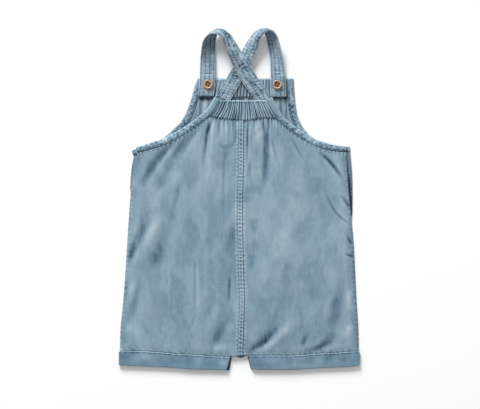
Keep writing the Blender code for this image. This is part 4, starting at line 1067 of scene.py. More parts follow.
# ---- bindings -----------------------------------------------------------------------------------
def build_binding(name, node, line, side, width, thick, middle, smooth_until, underside, cloth,
                  finish):
    """A folded strip round an armhole: a smooth roll that turns puckered where it is stitched."""
    rows = int(line.length / BINDING_STEP)
    u = np.linspace(0.0, 1.0, rows)[:, None]
    a = np.sin(np.linspace(-0.5 * math.pi, 0.5 * math.pi, BINDING_ACROSS))[None, :]
    taper = BINDING_TAPER * smooth_step((u - BINDING_TAPER_START) / (1.0 - BINDING_TAPER_START))
    half = width / 2.0 * (1.0 - taper)
    stitched = smooth_step((u - smooth_until) / 0.07)
    along = u * line.length + 0.0 * a
    low = underside(u)
    seed = sum(map(ord, name))
    dome = (1.0 - abs(a) ** 3.4) ** 0.6
    flatter = dome * (1.0 - 0.16 * stitched)
    groove = -0.34 * bump(a - BINDING_ROW, 0.11) * stitched
    ridges = puckers(along, a - 0.15, 0.85, seed, pitch=5.7, slant=-0.5)
    lumps = uneven(along / 2.4 + a, a * 1.8, seed + 3)
    relief = groove + (0.11 * ridges + 0.26 * lumps) * stitched * dome
    relief = relief * cloth.pucker_height / MM
    ends = np.sqrt(np.clip(np.minimum(u, 1.0 - u) * line.length / 1.4, 0.0, 1.0))
    height = 0.3 * thick + (0.7 * thick * flatter + relief) * (0.3 + 0.7 * ends)
    waver = 0.25 * stitched * puckers(along, 0.0 * a, 1.0, seed, pitch=5.4)
    reach = a * (half + waver) + middle
    place = line.beside(u + 0.0 * a, reach if side < 0 else -reach)
    under_z = 0.3 * thick * smooth_step((abs(a) - 0.78) / 0.22) + 0.0 * u
    over = np.dstack([place, low + height])
    under = np.dstack([place, low + under_z - 0.02])
    if side > 0:
        over, under = over[:, ::-1], under[:, ::-1]
        relief, a = relief[:, ::-1], a[:, ::-1]
    dots = 0.5 + 0.5 * np.cos(2.0 * math.pi * along / 3.2)
    worn = np.clip(relief / STAND_OUT_STEP["binding"], -2.2, 1.6) + 0.9 * bump(a + 0.88, 0.16)
    # painted shade along the inner edge, where the binding meets the panel, darker at the stitches
    worn = worn - (1.0 + 1.1 * dots * stitched) * bump(a - 0.96, 0.12)
    GRIDS[name] = over
    return settle(make_shell(name, over, under, finish, worn), node)


# ---- straps -------------------------------------------------------------------------------------
def build_strap(side, cloth, finish):
    """A folded strap of four stitched channels, from its button over the loop to where it is sewn."""
    line = Line(STRAPS[side], length_columns=6)
    reach = line.length / math.sqrt(2.0)        # the line counts both edges
    stations = int(reach / STRAP_STEP)
    u = np.linspace(0.0, 1.0, stations)
    row, back, ahead = line.at(u), line.at(u - 0.01), line.at(u + 0.01)
    walk = (ahead - back)[:, 0:3] + (ahead - back)[:, 3:6]
    walk /= np.linalg.norm(walk, axis=1, keepdims=True)
    left, right, belly = row[:, 0:3], row[:, 3:6], row[:, 6]
    across = right - left
    face = np.cross(across, walk)
    face /= np.linalg.norm(face, axis=1, keepdims=True)
    a = np.sin(np.linspace(-STRAP_TURN, STRAP_TURN, STRAP_ACROSS)) / math.sin(STRAP_TURN)
    v = (a + 1.0) / 2.0
    lean = across[:, None] - face[:, None] * (belly[:, None] * 4.0 * (1.0 - 2.0 * v)[None])[..., None]
    lean = np.cross(lean, walk[:, None])
    lean /= np.linalg.norm(lean, axis=-1, keepdims=True)
    along, aa = np.broadcast_arrays((u * reach)[:, None], a[None])
    shells = []
    for facing_up in (1.0, -1.0):
        seed = 141 + side * 3 + int(facing_up)
        grooves = sum(bump(aa - row_at, 0.055) for row_at in STRAP_ROWS)
        drift = 2.6 * uneven(aa * 1.8, along / 13.0, seed)
        wander = puckers(along + drift, 0.0 * aa, 1.0, seed + 5, pitch=4.6)
        lumps = uneven(aa * 4.4, along / 2.7, seed + 9) + 0.7 * uneven(aa * 7.0, along / 5.5, seed + 11)
        relief = 0.09 * wander + 0.11 * lumps + 0.1 * uneven(aa * 1.5, along / 8.0, seed + 13)
        relief = relief * (0.75 + 0.9 * smooth_step((along - 90.0) / 15.0))    # more where it is sewn
        relief = relief * (1.0 - 0.6 * bump(abs(aa) - 1.0, 0.1)) - 0.32 * grooves
        for height in EXTRA_BUTTONHOLES_Y:
            dip = along - np.interp(height, row[:DENTED_ROWS, 1], (u * reach)[:DENTED_ROWS])
            relief += 0.1 * bump(abs(dip) - 1.7, 0.9) * bump(aa, 0.75)
            relief -= 0.4 * bump(dip, 0.7) * bump(aa, 0.45)
        relief *= cloth.pucker_height / MM
        shells.append(relief)
    round_edge = np.sqrt(np.clip(1.0 - ((abs(a) - 0.94) / 0.06).clip(0.0, 1.0) ** 2, 0.04, 1.0))
    middle = left[:, None] + across[:, None] * v[None, :, None]
    middle = middle - face[:, None] * (belly[:, None] * (4.0 * v * (1.0 - v))[None])[..., None]
    ends = np.sqrt(np.clip(np.minimum(along, reach - along) / 1.0, 0.06, 1.0))
    half = STRAP_THICK / 2.0
    over = middle + lean * ((half + np.clip(shells[0], -0.6, 0.28)) * round_edge * ends)[..., None]
    under = middle - lean * ((half + np.clip(shells[1], -0.6, 0.28)) * round_edge * ends)[..., None]
    name = "shoulder_strap_" + NAME_OF[side]
    GRIDS[name], GRIDS[name + "_inside"] = over, under[:, ::-1]
    rim = 1.3 * bump(abs(aa) - 0.98, 0.07)
    worn = [np.clip(relief / STAND_OUT_STEP["strap"], -2.2, 1.2) + rim for relief in shells]
    # painted shade in the hollow of the loop, between the strap's edges
    loop_shade = 0.6 * bump(along - LOOP_SHADE[side][0], LOOP_SHADE[side][1]) * smooth_step((0.96 - abs(aa)) / 0.2)
    worn[0] = worn[0] - loop_shade
    made = make_shell(name, over, under, finish, worn[0])
    layer = made.data.attributes["worn"].data
    layer.foreach_set("value", np.concatenate([w.ravel() for w in worn]).astype(np.float32))
    return settle(made, "strap_" + NAME_OF[side])


# ---- cuffs --------------------------------------------------------------------------------------
def build_cuff(side, cloth, finish):
    """A turned-up cuff pressed flat: a ring of doubled cloth round the end of the leg."""
    rows = HEM[side]
    height = 2.0 * CUFF_WALL + CUFF_SLIT
    flat_points, turns = CUFF_FLAT_POINTS, np.radians(np.linspace(-75.0, 75.0, CUFF_BEND_POINTS))
    t = (0.5 - 0.5 * np.cos(np.linspace(0.0, 1.0, CUFF_UP_POINTS) * math.pi))[:, None]
    from_end = 1.0 - np.minimum(t, 1.0 - t) / 0.07
    round_end = np.sqrt(np.clip(1.0 - from_end.clip(0.0, 1.0) ** 2, 0.0, 1.0))

    def loop(inset):
        """Round the leg: along the lower layer, up the outer end, back along the upper layer."""
        low_z, high_z = inset, height - inset
        bend = (high_z - low_z) / 2.0
        outer = side * (CUFF_REACH - inset * 0.6 - CUFF_BEND)
        share = np.linspace(0.0, 1.0, flat_points)[None]
        inner_high = read_table(CUFF_INNER[side], 1, t) + side * inset
        inner_foot = read_table(CUFF_INNER[side], 2, t) + side * inset * CUFF_INNER_SLANT
        rounded = outer + side * min(CUFF_BEND, bend) * np.cos(turns)[None] + 0.0 * t
        x = np.concatenate([inner_foot + (outer - inner_foot) * share, rounded,
                            outer + (inner_high - outer) * share,
                            0.75 * inner_high + 0.25 * inner_foot + side * 0.3], axis=1)
        z = np.concatenate([np.full(flat_points, low_z), low_z + bend + bend * np.sin(turns),
                            np.full(flat_points, high_z), [(low_z + high_z) / 2.0]])
        layer = np.concatenate([np.full(flat_points, -1.0), np.sin(turns), np.ones(flat_points), [0.0]])
        return x, z[None], layer[None]

    grids = []
    for inset in (0.0, CUFF_WALL):
        x, z, layer = loop(inset)
        held = np.where(x * side > 0, np.minimum(abs(x), CUFF_REACH) * side, x)
        top, fold = read_table(rows, 1, held), read_table(rows, 2, held)
        squash = (1.0 - round_end) * CUFF_WALL * 0.5 * (1.0 if inset == 0.0 else -0.96)
        z = z - layer * squash
        y = fold + (top - fold) * t
        upper = smooth_step(layer)
        if inset == 0.0:
            relief = 0.3 * bump(t - 0.965, 0.03) - 0.38 * bump(t - CUFF_ROW, 0.028)
            relief = relief + 0.2 * puckers(x + 0.0 * t, t - CUFF_ROW, 0.12, 151 + side, pitch=7.5)
            creases = 0.24 * uneven(x / 42.0, t * 1.3, 161 + side) + 0.2 * uneven(x / 11.0, t * 2.0, 163)
            relief = (relief + creases * np.sin(math.pi * t)) * upper * cloth.pucker_height / MM
            z = z + relief * round_end
            # paler along the folded foot, a painted highlight on the top edge and painted shade in the
            # stitch groove
            rims = 0.4 * bump(t, 0.05) + 1.1 * bump(t - 0.985, 0.03) - 1.1 * bump(t - CUFF_ROW, 0.035)
            worn = np.clip(relief / STAND_OUT_STEP["cuff"], -1.5, 1.2) + rims * upper
            # painted shadow at the cuff's inner ends, where the open leg shows
            worn[:, [0, -1]] = -4.0
        grids.append(np.dstack([x + 0.0 * t, y, z + 0.0 * t]))
    over, under = grids
    lengths = cloth_lengths(over)
    name = "cuff_cloth_" + NAME_OF[side]
    upper_part = slice(flat_points + len(turns), 2 * flat_points + len(turns))
    GRIDS[name] = over[:, upper_part]
    if side < 0:
        over, under, worn, lengths = over[:, ::-1], under[:, ::-1], worn[:, ::-1], lengths[:, ::-1]
    made = make_shell(name, over, under, finish, worn, round_it=True, uv=lengths)
    return settle(made, "cuff_" + NAME_OF[side])


# ---- buttons ------------------------------------------------------------------------------------
def build_button(side, finish):
    """A turned wooden button: rounded rim, dished middle and four holes."""
    low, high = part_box("button_" + NAME_OF[side])
    middle, size = (low + high) / 2.0 / MM, (high.x - low.x) / 2.0 / MM
    scale = size / max(r for r, _ in BUTTON_PROFILE)
    profile = np.array(BUTTON_PROFILE)
    keys = np.linspace(0.0, 1.0, len(profile))
    ring = read_smoothly(keys, profile, np.linspace(0.0, 1.0, BUTTON_RINGS))
    turn = np.linspace(0.0, 2.0 * math.pi, BUTTON_SIDES + 1)[:-1]
    radius, height = np.maximum(ring[:, :1], 0.004) * scale, ring[:, 1:] + 0.0 * turn[None]
    x, y = radius * np.cos(turn), radius * np.sin(turn)
    upper = (np.arange(BUTTON_RINGS) > 40)[:, None]
    hole_shade = 0.0 * height
    for quarter in range(4):
        angle = BUTTON_TURN + math.pi / 4.0 + quarter * math.pi / 2.0
        hole_x = math.sqrt(2.0) * BUTTON_HOLE_SPREAD * math.cos(angle)
        hole_y = math.sqrt(2.0) * BUTTON_HOLE_SPREAD * math.sin(angle)
        off = np.hypot(x - hole_x, y - hole_y) / BUTTON_HOLE_RADIUS
        height = height - 1.6 * smooth_step((1.12 - off) / 0.3) * upper
        hole_shade = np.maximum(hole_shade, smooth_step((1.2 - off) / 0.3) * upper)
    points = np.dstack([x + middle.x, y + middle.y - SHIFT_Y, height + low.z / MM])
    rows, columns = points.shape[:2]
    faces = grid_faces(rows, columns, 0, columns).tolist()
    faces.append(list(range(columns))[::-1])
    faces.append(list(range((rows - 1) * columns, rows * columns)))
    # painted shade in the holes and a painted shadow round the button's side; the dished middle a little
    # darker
    dished = smooth_step((4.7 - radius) / 0.7) * upper
    edge_shadow = smooth_step((radius - 5.7) / 0.6)
    worn = -np.maximum(hole_shade, 0.55 * dished + 0.85 * edge_shadow)
    uv = np.dstack([x, y]) * MM
    made = new_object("wooden_button_" + NAME_OF[side], points.reshape(-1, 3), faces, finish,
                      uv.reshape(-1, 2), worn)
    return settle(made, "button_" + NAME_OF[side])


def build_button_thread(side, finish):
    """The thread that shows in a button's holes."""
    low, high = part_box("button_" + NAME_OF[side])
    middle = (low + high) / 2.0 / MM
    centre = np.array([middle.x, middle.y - SHIFT_Y, low.z / MM + 0.65])
    along = np.array([math.cos(BUTTON_TURN), math.sin(BUTTON_TURN), 0.0])
    up = np.array([0.0, 0.0, 1.0])
    aside = np.cross(up, along)
    reach = np.linspace(-0.55, 0.55, STITCH_PLACES)[:, None] * along
    bars = []
    for row in (-1.0, 1.0):
        for start in (-1.0, 1.0):
            hole = centre + along * BUTTON_HOLE_SPREAD * start + aside * BUTTON_HOLE_SPREAD * row
            bars.append(((hole + reach)[None], np.tile(up, (1, STITCH_PLACES, 1))))
    made = make_threads("button_thread_" + NAME_OF[side], bars, 0.42, finish)
    return settle(made, None)


# ---- all the stitching --------------------------------------------------------------------------
def sew_all(stitches, finish, dark):
    """Every row of topstitching, one mesh for each kind of seam."""
    length, gap = stitches.stitch_length / MM, stitches.stitch_gap / MM
    radius = stitches.thread_width / MM / 2.0
    steps = np.linspace(0.0, 1.0, 600)

    def row(name, rows, columns, seed=1, waver=0.0):
        return stitch_row(name, rows, columns, length, gap, waver, seed)

    made = [make_threads("seam_stitches", [
        row("centre_seam", 0.004 + 0.992 * steps, 0.5 + 0.5 * side, seed, 0.012)
        for seed, side in enumerate(SEAM_ROWS)], radius, finish)]
    bound = []
    for number, name in enumerate(("back_binding_left", "back_binding_right",
                                   "front_binding_left", "front_binding_right")):
        start = 0.16 if name.startswith("back") else 0.05
        inner = math.asin(BINDING_ROW) / math.pi + 0.5
        column = inner if name.endswith("left") else 1.0 - inner
        bound.append(row(name, start + (0.99 - start) * steps, column, 10 + number, 0.01))
    made.append(make_threads("binding_stitches", bound, radius, finish))
    gathered = [row(name, at, 0.01 + 0.98 * steps, seed + number)
                for name, seed in (("back_gathers", 21), ("front_gathers", 23))
                for number, at in enumerate(CASING_ROWS)]
    made.append(make_threads("gathering_stitches", gathered, radius, finish))
    cuffs = [row("cuff_cloth_" + NAME_OF[side], 0.81, 0.01 + 0.98 * steps, 30 + side, 0.0)
             for side in (LEFT, RIGHT)]
    made.append(make_threads("cuff_stitches", cuffs, radius, finish))
    sides = [row("front_panel_right", 0.4 + 0.42 * steps, 0.968, 35)]
    made.append(make_threads("side_stitches", sides, radius, finish))
    straps = []
    columns = [0.5 + math.asin(share * math.sin(STRAP_TURN)) / (2.0 * STRAP_TURN)
               for share in STRAP_ROWS]
    for side in (LEFT, RIGHT):
        name = "shoulder_strap_" + NAME_OF[side]
        for number, column in enumerate(columns):
            straps.append(row(name, 0.012 + 0.976 * steps, column, 40 + number, 0.004))
            straps.append(row(name + "_inside", 0.012 + 0.976 * steps, column, 50 + number, 0.004))
        straps.append(row(name, 0.014, 0.08 + 0.84 * steps, 60))
        sewn = (0.985, 0.958, 0.93) if side < 0 else (0.98,)
        for number, at in enumerate(sewn):
            straps.append(row(name + "_inside", at, 0.08 + 0.84 * steps, 61 + number))
    made.append(make_threads("strap_stitches", straps, radius, finish))
    made.append(make_threads("buttonhole_stitches", buttonholes(), radius * 0.8, dark))
    for piece in made:
        settle(piece, None)
    return made


def buttonholes():
    """Worked buttonholes across each strap: close stitches on both sides of a slit."""
    bars = []
    for side in (LEFT, RIGHT):
        grid = GRIDS["shoulder_strap_" + NAME_OF[side]]
        ups = facing(grid)
        heights = grid[:STRAIGHT_ROWS, grid.shape[1] // 2, 1]
        pitch = 1.0 / (len(grid) - 1)
        for height in EXTRA_BUTTONHOLES_Y:
            at = np.interp(height, heights, np.arange(STRAIGHT_ROWS)) * pitch
            for edge in (-1.0, 1.0):
                for share in np.linspace(0.3, 0.7, 17):
                    rows = at + edge * pitch * np.linspace(0.35, 2.0, STITCH_PLACES)
                    column = np.full(STITCH_PLACES, share)
                    bars.append((on_grid(grid, rows, column)[None], on_grid(ups, rows, column)[None]))
    return bars


# ---- finishes -----------------------------------------------------------------------------------
CLOTH_FINISHES = {
    # name: the setting with its dye, how strongly its rubbing and its painted light and shade show
    "washed_chambray": ("dye", 1.0),
    "chambray_inside": ("inside_dye", 1.0),
    "strap_chambray": ("strap_dye", 1.35),
    "gathered_chambray": ("dye", 1.6),
    "gathered_inside": ("inside_dye", 1.7),
    "cuff_chambray": ("cuff_dye", 1.2),
}
BUTTON_THREAD_COLOUR = (0.03, 0.012, 0.006)


def new_material(name):
    """An empty node material, with its shader and a helper that adds nodes."""
    made = bpy.data.materials.new(name)
    made.use_nodes = True
    tree = made.node_tree
    shader = tree.nodes["Principled BSDF"]

    def add(kind, inputs=None, **settings):
        node = tree.nodes.new(kind)
        for key, value in settings.items():
            setattr(node, key, value)
        for key, value in (inputs or {}).items():
            if isinstance(value, bpy.types.NodeSocket):
                tree.links.new(value, node.inputs[key])
            else:
                node.inputs[key].default_value = value
        return node

    return made, tree, shader, add


def blend_between(add, share, colours):
    """A ramp from the deepest of the colours to the palest."""
    ramp = add("ShaderNodeValToRGB", {"Fac": share})
    stops = ramp.color_ramp.elements
    while len(stops) < len(colours):
        stops.new(0.5)
    for stop, (position, colour) in zip(stops, colours):
        stop.position = position
        stop.color = colour
    return ramp.outputs["Color"]


def shade(colour, factor):
    """A colour made lighter (over 1) or darker (under 1)."""
    return tuple(min(1.0, c * factor) for c in colour[:3]) + (1.0,)


def washed(dye, factor):
    """The dye made paler (over 1) and darker (under 1), for rubbing and for painted light and shade:
    blue fades last.
    """
    return tuple(min(1.0, c * factor**power) for c, power in zip(dye, (1.3, 1.0, 0.83))) + (1.0,)


def cloth_finish(name, dye, cloth, contrast):
    """Washed chambray: dyed threads one way, pale ones the other, paler where it stands out and is
    rubbed, with painted light and shade.
    """
    made, tree, shader, add = new_material(name)
    place = add("ShaderNodeUVMap", uv_map="UVMap").outputs["UV"]
    spot = add("ShaderNodeTexCoord").outputs["Object"]
    worn = add("ShaderNodeAttribute", attribute_name="worn").outputs["Fac"]

    def noise(vector, stretch, detail, scale=1.0):
        sized = add("ShaderNodeVectorMath", {0: vector, 1: stretch}, operation="MULTIPLY")
        return add("ShaderNodeTexNoise", {"Vector": sized.outputs[0], "Scale": scale, "Detail": detail,
                                          "Roughness": 0.55}).outputs["Fac"]

    def math_node(kind, first, second):
        return add("ShaderNodeMath", {0: first, 1: second}, operation=kind).outputs[0]

    # threads one way and the other, then washed patches of two sizes; all in changes a metre
    warp = noise(place, (1900.0, 55.0, 1.0), 2.0)
    weft = noise(place, (55.0, 1900.0, 1.0), 2.0)
    wash = noise(spot, (21.0, 15.0, 21.0), 3.0)
    faded = noise(spot, (75.0, 32.0, 75.0), 2.0)
    # the attribute moves the colour along the ramp: up for rubbing and painted light, down for painted
    # shade
    share = math_node("MULTIPLY_ADD", worn, 0.17 * contrast)
    share.node.inputs[2].default_value = 0.5
    for layer, weight in ((warp, 0.42), (weft, 0.26), (wash, 0.36), (faded, 0.12)):
        centred = math_node("SUBTRACT", layer, 0.5)
        share = math_node("ADD", share, math_node("MULTIPLY", centred, weight))
    # patches with edges that show, as stonewashing leaves them
    patches = noise(spot, (40.0, 24.0, 40.0), 4.0)
    edged = add("ShaderNodeMapRange", {"Value": patches, "From Min": 0.44, "From Max": 0.56,
                                       "To Min": -0.06, "To Max": 0.06},
                interpolation_type="SMOOTHSTEP").outputs["Result"]
    share = math_node("ADD", share, edged)
    # the lowest stops are nearly black, for painted shadow such as in the cuffs' open ends
    colour = blend_between(add, share, [
        (0.0, washed(dye, 0.1)), (0.12, washed(dye, 0.4)), (0.3, washed(dye, 0.72)),
        (0.5, washed(dye, 1.0)), (0.72, washed(dye, 1.27)), (1.0, washed(dye, 1.9)),
    ])
    # large patches that are a little greyer
    greyer = noise(spot, (19.0, 11.0, 19.0), 3.0)
    greyed = add("ShaderNodeMapRange", {"Value": greyer, "From Min": 0.42, "From Max": 0.6,
                                        "To Min": 0.0, "To Max": 0.55},
                 interpolation_type="SMOOTHSTEP").outputs["Result"]
    colour = add("ShaderNodeMix", {"Factor": greyed, 6: colour, 7: (1.07, 1.005, 0.985, 1.0)},
                 data_type="RGBA", blend_type="MULTIPLY").outputs[2]
    tree.links.new(colour, shader.inputs["Base Color"])
    shader.inputs["Roughness"].default_value = 0.88
    shader.inputs["Specular IOR Level"].default_value = 0.22
    shader.inputs["Sheen Weight"].default_value = 0.12
    shader.inputs["Sheen Roughness"].default_value = 0.55
    parts = add("ShaderNodeSeparateXYZ", {"Vector": place}).outputs

    def thread_wave(part):
        turned = math_node("MULTIPLY", part, math.pi / cloth.weave_pitch)
        return add("ShaderNodeMath", {0: turned}, operation="SINE").outputs[0]

    weave = math_node("MULTIPLY", thread_wave(parts[0]), thread_wave(parts[1]))
    fuzz = noise(place, (650.0, 650.0, 1.0), 3.0)
    height = math_node("ADD", math_node("MULTIPLY", weave, 0.25), math_node("MULTIPLY", fuzz, 1.6))
    height = math_node("ADD", height, math_node("MULTIPLY", warp, 0.8))
    relief = add("ShaderNodeBump", {"Height": height, "Strength": 0.55, "Distance": 0.00016})
    tree.links.new(relief.outputs["Normal"], shader.inputs["Normal"])
    return made


def thread_finish(name, colour):
    """Spun thread with a slight twist."""
    made, tree, shader, add = new_material(name)
    place = add("ShaderNodeTexCoord").outputs["Object"]
    wave = add("ShaderNodeTexNoise", {"Vector": place, "Scale": 900.0, "Detail": 2.0}).outputs["Fac"]
    tone = blend_between(add, wave, [(0.3, shade(colour, 0.72)), (0.7, shade(colour, 1.12))])
    tree.links.new(tone, shader.inputs["Base Color"])
    shader.inputs["Roughness"].default_value = 0.7
    shader.inputs["Sheen Weight"].default_value = 0.1
    relief = add("ShaderNodeBump", {"Height": wave, "Strength": 0.4, "Distance": 0.0001})
    tree.links.new(relief.outputs["Normal"], shader.inputs["Normal"])
    return made


def wood_finish(name, colour):
    """Light brown turned wood: long grain, fine pores and a satin face."""
    made, tree, shader, add = new_material(name)
    place = add("ShaderNodeTexCoord").outputs["Object"]
    worn = add("ShaderNodeAttribute", attribute_name="worn").outputs["Fac"]
    turned = add("ShaderNodeMapping", {"Vector": place, "Rotation": (0.0, 0.0, 0.5),
                                       "Scale": (260.0, 1500.0, 260.0)}).outputs[0]
    grain = add("ShaderNodeTexNoise", {"Vector": turned, "Scale": 1.0, "Detail": 4.0,
                                       "Distortion": 0.6}).outputs["Fac"]
    tone = blend_between(add, grain, [
        (0.28, shade(colour, 0.62)), (0.48, colour[:3] + (1.0,)), (0.75, shade(colour, 1.25))])
    # darkened where the attribute is below 0: painted shade in the holes and round the side, and the
    # darker middle
    deep = add("ShaderNodeMath", {0: worn, 1: -1.0}, operation="MULTIPLY", use_clamp=True).outputs[0]
    dark = add("ShaderNodeMix", {"Factor": deep, 6: tone, 7: shade(colour, 0.08)}, data_type="RGBA")
    tree.links.new(dark.outputs[2], shader.inputs["Base Color"])
    shader.inputs["Roughness"].default_value = 0.42
    shader.inputs["Coat Weight"].default_value = 0.15
    relief = add("ShaderNodeBump", {"Height": grain, "Strength": 0.25, "Distance": 0.0001})
    tree.links.new(relief.outputs["Normal"], shader.inputs["Normal"])
    return made


def plain_finish(name, colour, roughness):
    """One even colour, hardly shiny."""
    made, _, shader, _ = new_material(name)
    shader.inputs["Base Color"].default_value = colour[:3] + (1.0,)
    shader.inputs["Roughness"].default_value = roughness
    shader.inputs["Specular IOR Level"].default_value = 0.1
    return made


def finish_named(name):
    """The garment's finishes, each made once."""
    found = bpy.data.materials.get(name)
    if found:
        return found
    cloth, stitches, buttons = settings()[:3]
    if name in CLOTH_FINISHES:
        dye, contrast = CLOTH_FINISHES[name]
        return cloth_finish(name, tuple(getattr(cloth, dye)), cloth, contrast)
    makers = {
        "topstitch_thread": lambda: thread_finish(name, tuple(stitches.thread_colour)),
        "buttonhole_thread": lambda: thread_finish(name, tuple(stitches.buttonhole_colour)),
        "button_thread": lambda: thread_finish(name, BUTTON_THREAD_COLOUR),
        "button_wood": lambda: wood_finish(name, tuple(buttons.wood_colour)),
    }
    return makers[name]()


# ---- settings -----------------------------------------------------------------------------------
class OVERALLS_ClothSettings(bpy.types.PropertyGroup):
    dye: bpy.props.FloatVectorProperty(
        name="Dye", description="Colour of the outside of the chambray", subtype="COLOR", size=3,
        min=0.0, max=1.0, default=(0.205, 0.312, 0.385))
    inside_dye: bpy.props.FloatVectorProperty(
        name="Inside dye", description="Colour of the wrong side of the chambray",
        subtype="COLOR", size=3, min=0.0, max=1.0, default=(0.18, 0.262, 0.33))
    strap_dye: bpy.props.FloatVectorProperty(
        name="Strap dye", description="Colour of the doubled cloth of the straps",
        subtype="COLOR", size=3, min=0.0, max=1.0, default=(0.228, 0.318, 0.388))
    cuff_dye: bpy.props.FloatVectorProperty(
        name="Cuff dye", description="Colour of the pressed cuffs", subtype="COLOR", size=3,
        min=0.0, max=1.0, default=(0.148, 0.25, 0.334))
    fold_strength: bpy.props.FloatProperty(
        name="Fold strength", description="How deep the placed folds are, as a share of their table",
        min=0.0, max=1.2, default=0.52, subtype="FACTOR")
    pucker_height: bpy.props.FloatProperty(
        name="Pucker height", description="Scale of the small puckers at the seams; 1 mm is as made",
        min=0.0, max=0.002, default=0.001, precision=4, subtype="DISTANCE", unit="LENGTH")
    weave_pitch: bpy.props.FloatProperty(
        name="Weave pitch", description="Distance from one thread of the weave to the next",
        min=0.0002, max=0.002, default=0.00042, precision=5, subtype="DISTANCE", unit="LENGTH")


class OVERALLS_StitchSettings(bpy.types.PropertyGroup):
    stitch_length: bpy.props.FloatProperty(
        name="Stitch length", description="Length of one topstitch", min=0.001, max=0.006,
        default=0.0023, precision=4, subtype="DISTANCE", unit="LENGTH")
    stitch_gap: bpy.props.FloatProperty(
        name="Stitch gap", description="Distance from one topstitch to the next", min=0.0002, max=0.004,
        default=0.0009, precision=4, subtype="DISTANCE", unit="LENGTH")
    thread_width: bpy.props.FloatProperty(
        name="Thread width", description="Width of the sewing thread", min=0.0002, max=0.001,
        default=0.00046, precision=5, subtype="DISTANCE", unit="LENGTH")
    # The thread is dark partly as painted shade of the grooves that the stitches sink into.
    thread_colour: bpy.props.FloatVectorProperty(
        name="Thread", description="Colour of the topstitching", subtype="COLOR", size=3,
        min=0.0, max=1.0, default=(0.125, 0.2, 0.27))
    buttonhole_colour: bpy.props.FloatVectorProperty(
        name="Buttonhole thread", description="Colour of the worked buttonholes",
        subtype="COLOR", size=3, min=0.0, max=1.0, default=(0.15, 0.225, 0.29))


class OVERALLS_ButtonSettings(bpy.types.PropertyGroup):
    wood_colour: bpy.props.FloatVectorProperty(
        name="Wood", description="Colour of the turned buttons", subtype="COLOR", size=3,
        min=0.0, max=1.0, default=(0.58, 0.32, 0.2))


class OVERALLS_StageSettings(bpy.types.PropertyGroup):
    floor_colour: bpy.props.FloatVectorProperty(
        name="Floor", description="Colour of the plain floor", subtype="COLOR", size=3,
        min=0.0, max=1.0, default=(0.95, 0.95, 0.95))
    key_power: bpy.props.FloatProperty(
        name="Key light", description="Power of the low, soft light beyond the straps",
        min=0.0, max=1000.0, default=415.0, unit="POWER")
    sky_strength: bpy.props.FloatProperty(
        name="Sky light", description="Strength of the even light from all round", min=0.0, max=5.0,
        default=0.5)
    lens: bpy.props.FloatProperty(
        name="Lens", description="Focal length of the camera in millimetres",
        min=20.0, max=200.0, default=135.0)
    view_width: bpy.props.FloatProperty(
        name="View width", description="Width of the surface that the camera takes in", min=0.1, max=3.0,
        default=0.6624, precision=4, subtype="DISTANCE", unit="LENGTH")


def settings():
    """The settings of the cloth, the stitches, the buttons and the stage."""
    scene = bpy.context.scene
    return scene.overalls_cloth, scene.overalls_stitches, scene.overalls_buttons, scene.overalls_stage


# ---- operators ----------------------------------------------------------------------------------
class BuildOperator:
    """What the operators share: they make pieces, and can be undone."""
    bl_options = {"REGISTER", "UNDO"}


class OVERALLS_OT_back(BuildOperator, bpy.types.Operator):
    """Make both halves of the back with their folds"""
    bl_idname = "overalls.back"
    bl_label = "Back"

    def execute(self, context):
        for side in (LEFT, RIGHT):
            piece = build_back(side, context.scene.overalls_cloth, finish_named("washed_chambray"))
        return {"FINISHED"}


class OVERALLS_OT_seam(BuildOperator, bpy.types.Operator):
    """Make the felled seam down the middle of the back"""
    bl_idname = "overalls.seam"
    bl_label = "Centre Seam"

    def execute(self, context):
        piece = build_seam(context.scene.overalls_cloth, finish_named("washed_chambray"))
        return {"FINISHED"}


class OVERALLS_OT_gathers(BuildOperator, bpy.types.Operator):
    """Make the gathered elastic tops of the back and of the bib"""
    bl_idname = "overalls.gathers"
    bl_label = "Gathered Tops"

    def execute(self, context):
        cloth = context.scene.overalls_cloth
        piece = build_back_casing(cloth, finish_named("gathered_chambray"))
        piece = build_front_casing(cloth, finish_named("gathered_inside"))
        return {"FINISHED"}


class OVERALLS_OT_front(BuildOperator, bpy.types.Operator):
    """Make both halves of the front, which lie under the back"""
    bl_idname = "overalls.front"
    bl_label = "Front"

    def execute(self, context):
        for side in (LEFT, RIGHT):
            piece = build_front(side, context.scene.overalls_cloth, finish_named("chambray_inside"))
        return {"FINISHED"}


class OVERALLS_OT_bindings(BuildOperator, bpy.types.Operator):
    """Make the bindings round the armholes of the back and of the front"""
    bl_idname = "overalls.bindings"
    bl_label = "Armhole Bindings"

    def execute(self, context):
        cloth = context.scene.overalls_cloth
        for side in (LEFT, RIGHT):
            line = back_line(side)
            name = NAME_OF[side]
            piece = build_binding(
                "back_binding_" + name, "binding_back_" + name, line, side, BACK_BINDING_WIDTH,
                BACK_BINDING_THICK, 0.0, 0.13, lambda u: line.at(u)[..., 2], cloth,
                finish_named("gathered_chambray"))
            line = front_line(side)
            piece = build_binding(
                "front_binding_" + name, "binding_front_" + name, line, side, FRONT_BINDING_WIDTH,
                FRONT_BINDING_THICK, FRONT_BINDING_WIDTH / 2.0, 0.04, lambda u: 0.0 * u, cloth,
                finish_named("gathered_inside"))
        return {"FINISHED"}


class OVERALLS_OT_straps(BuildOperator, bpy.types.Operator):
    """Make the two crossed shoulder straps"""
    bl_idname = "overalls.straps"
    bl_label = "Shoulder Straps"

    def execute(self, context):
        for side in (LEFT, RIGHT):
            piece = build_strap(side, context.scene.overalls_cloth, finish_named("strap_chambray"))
        return {"FINISHED"}


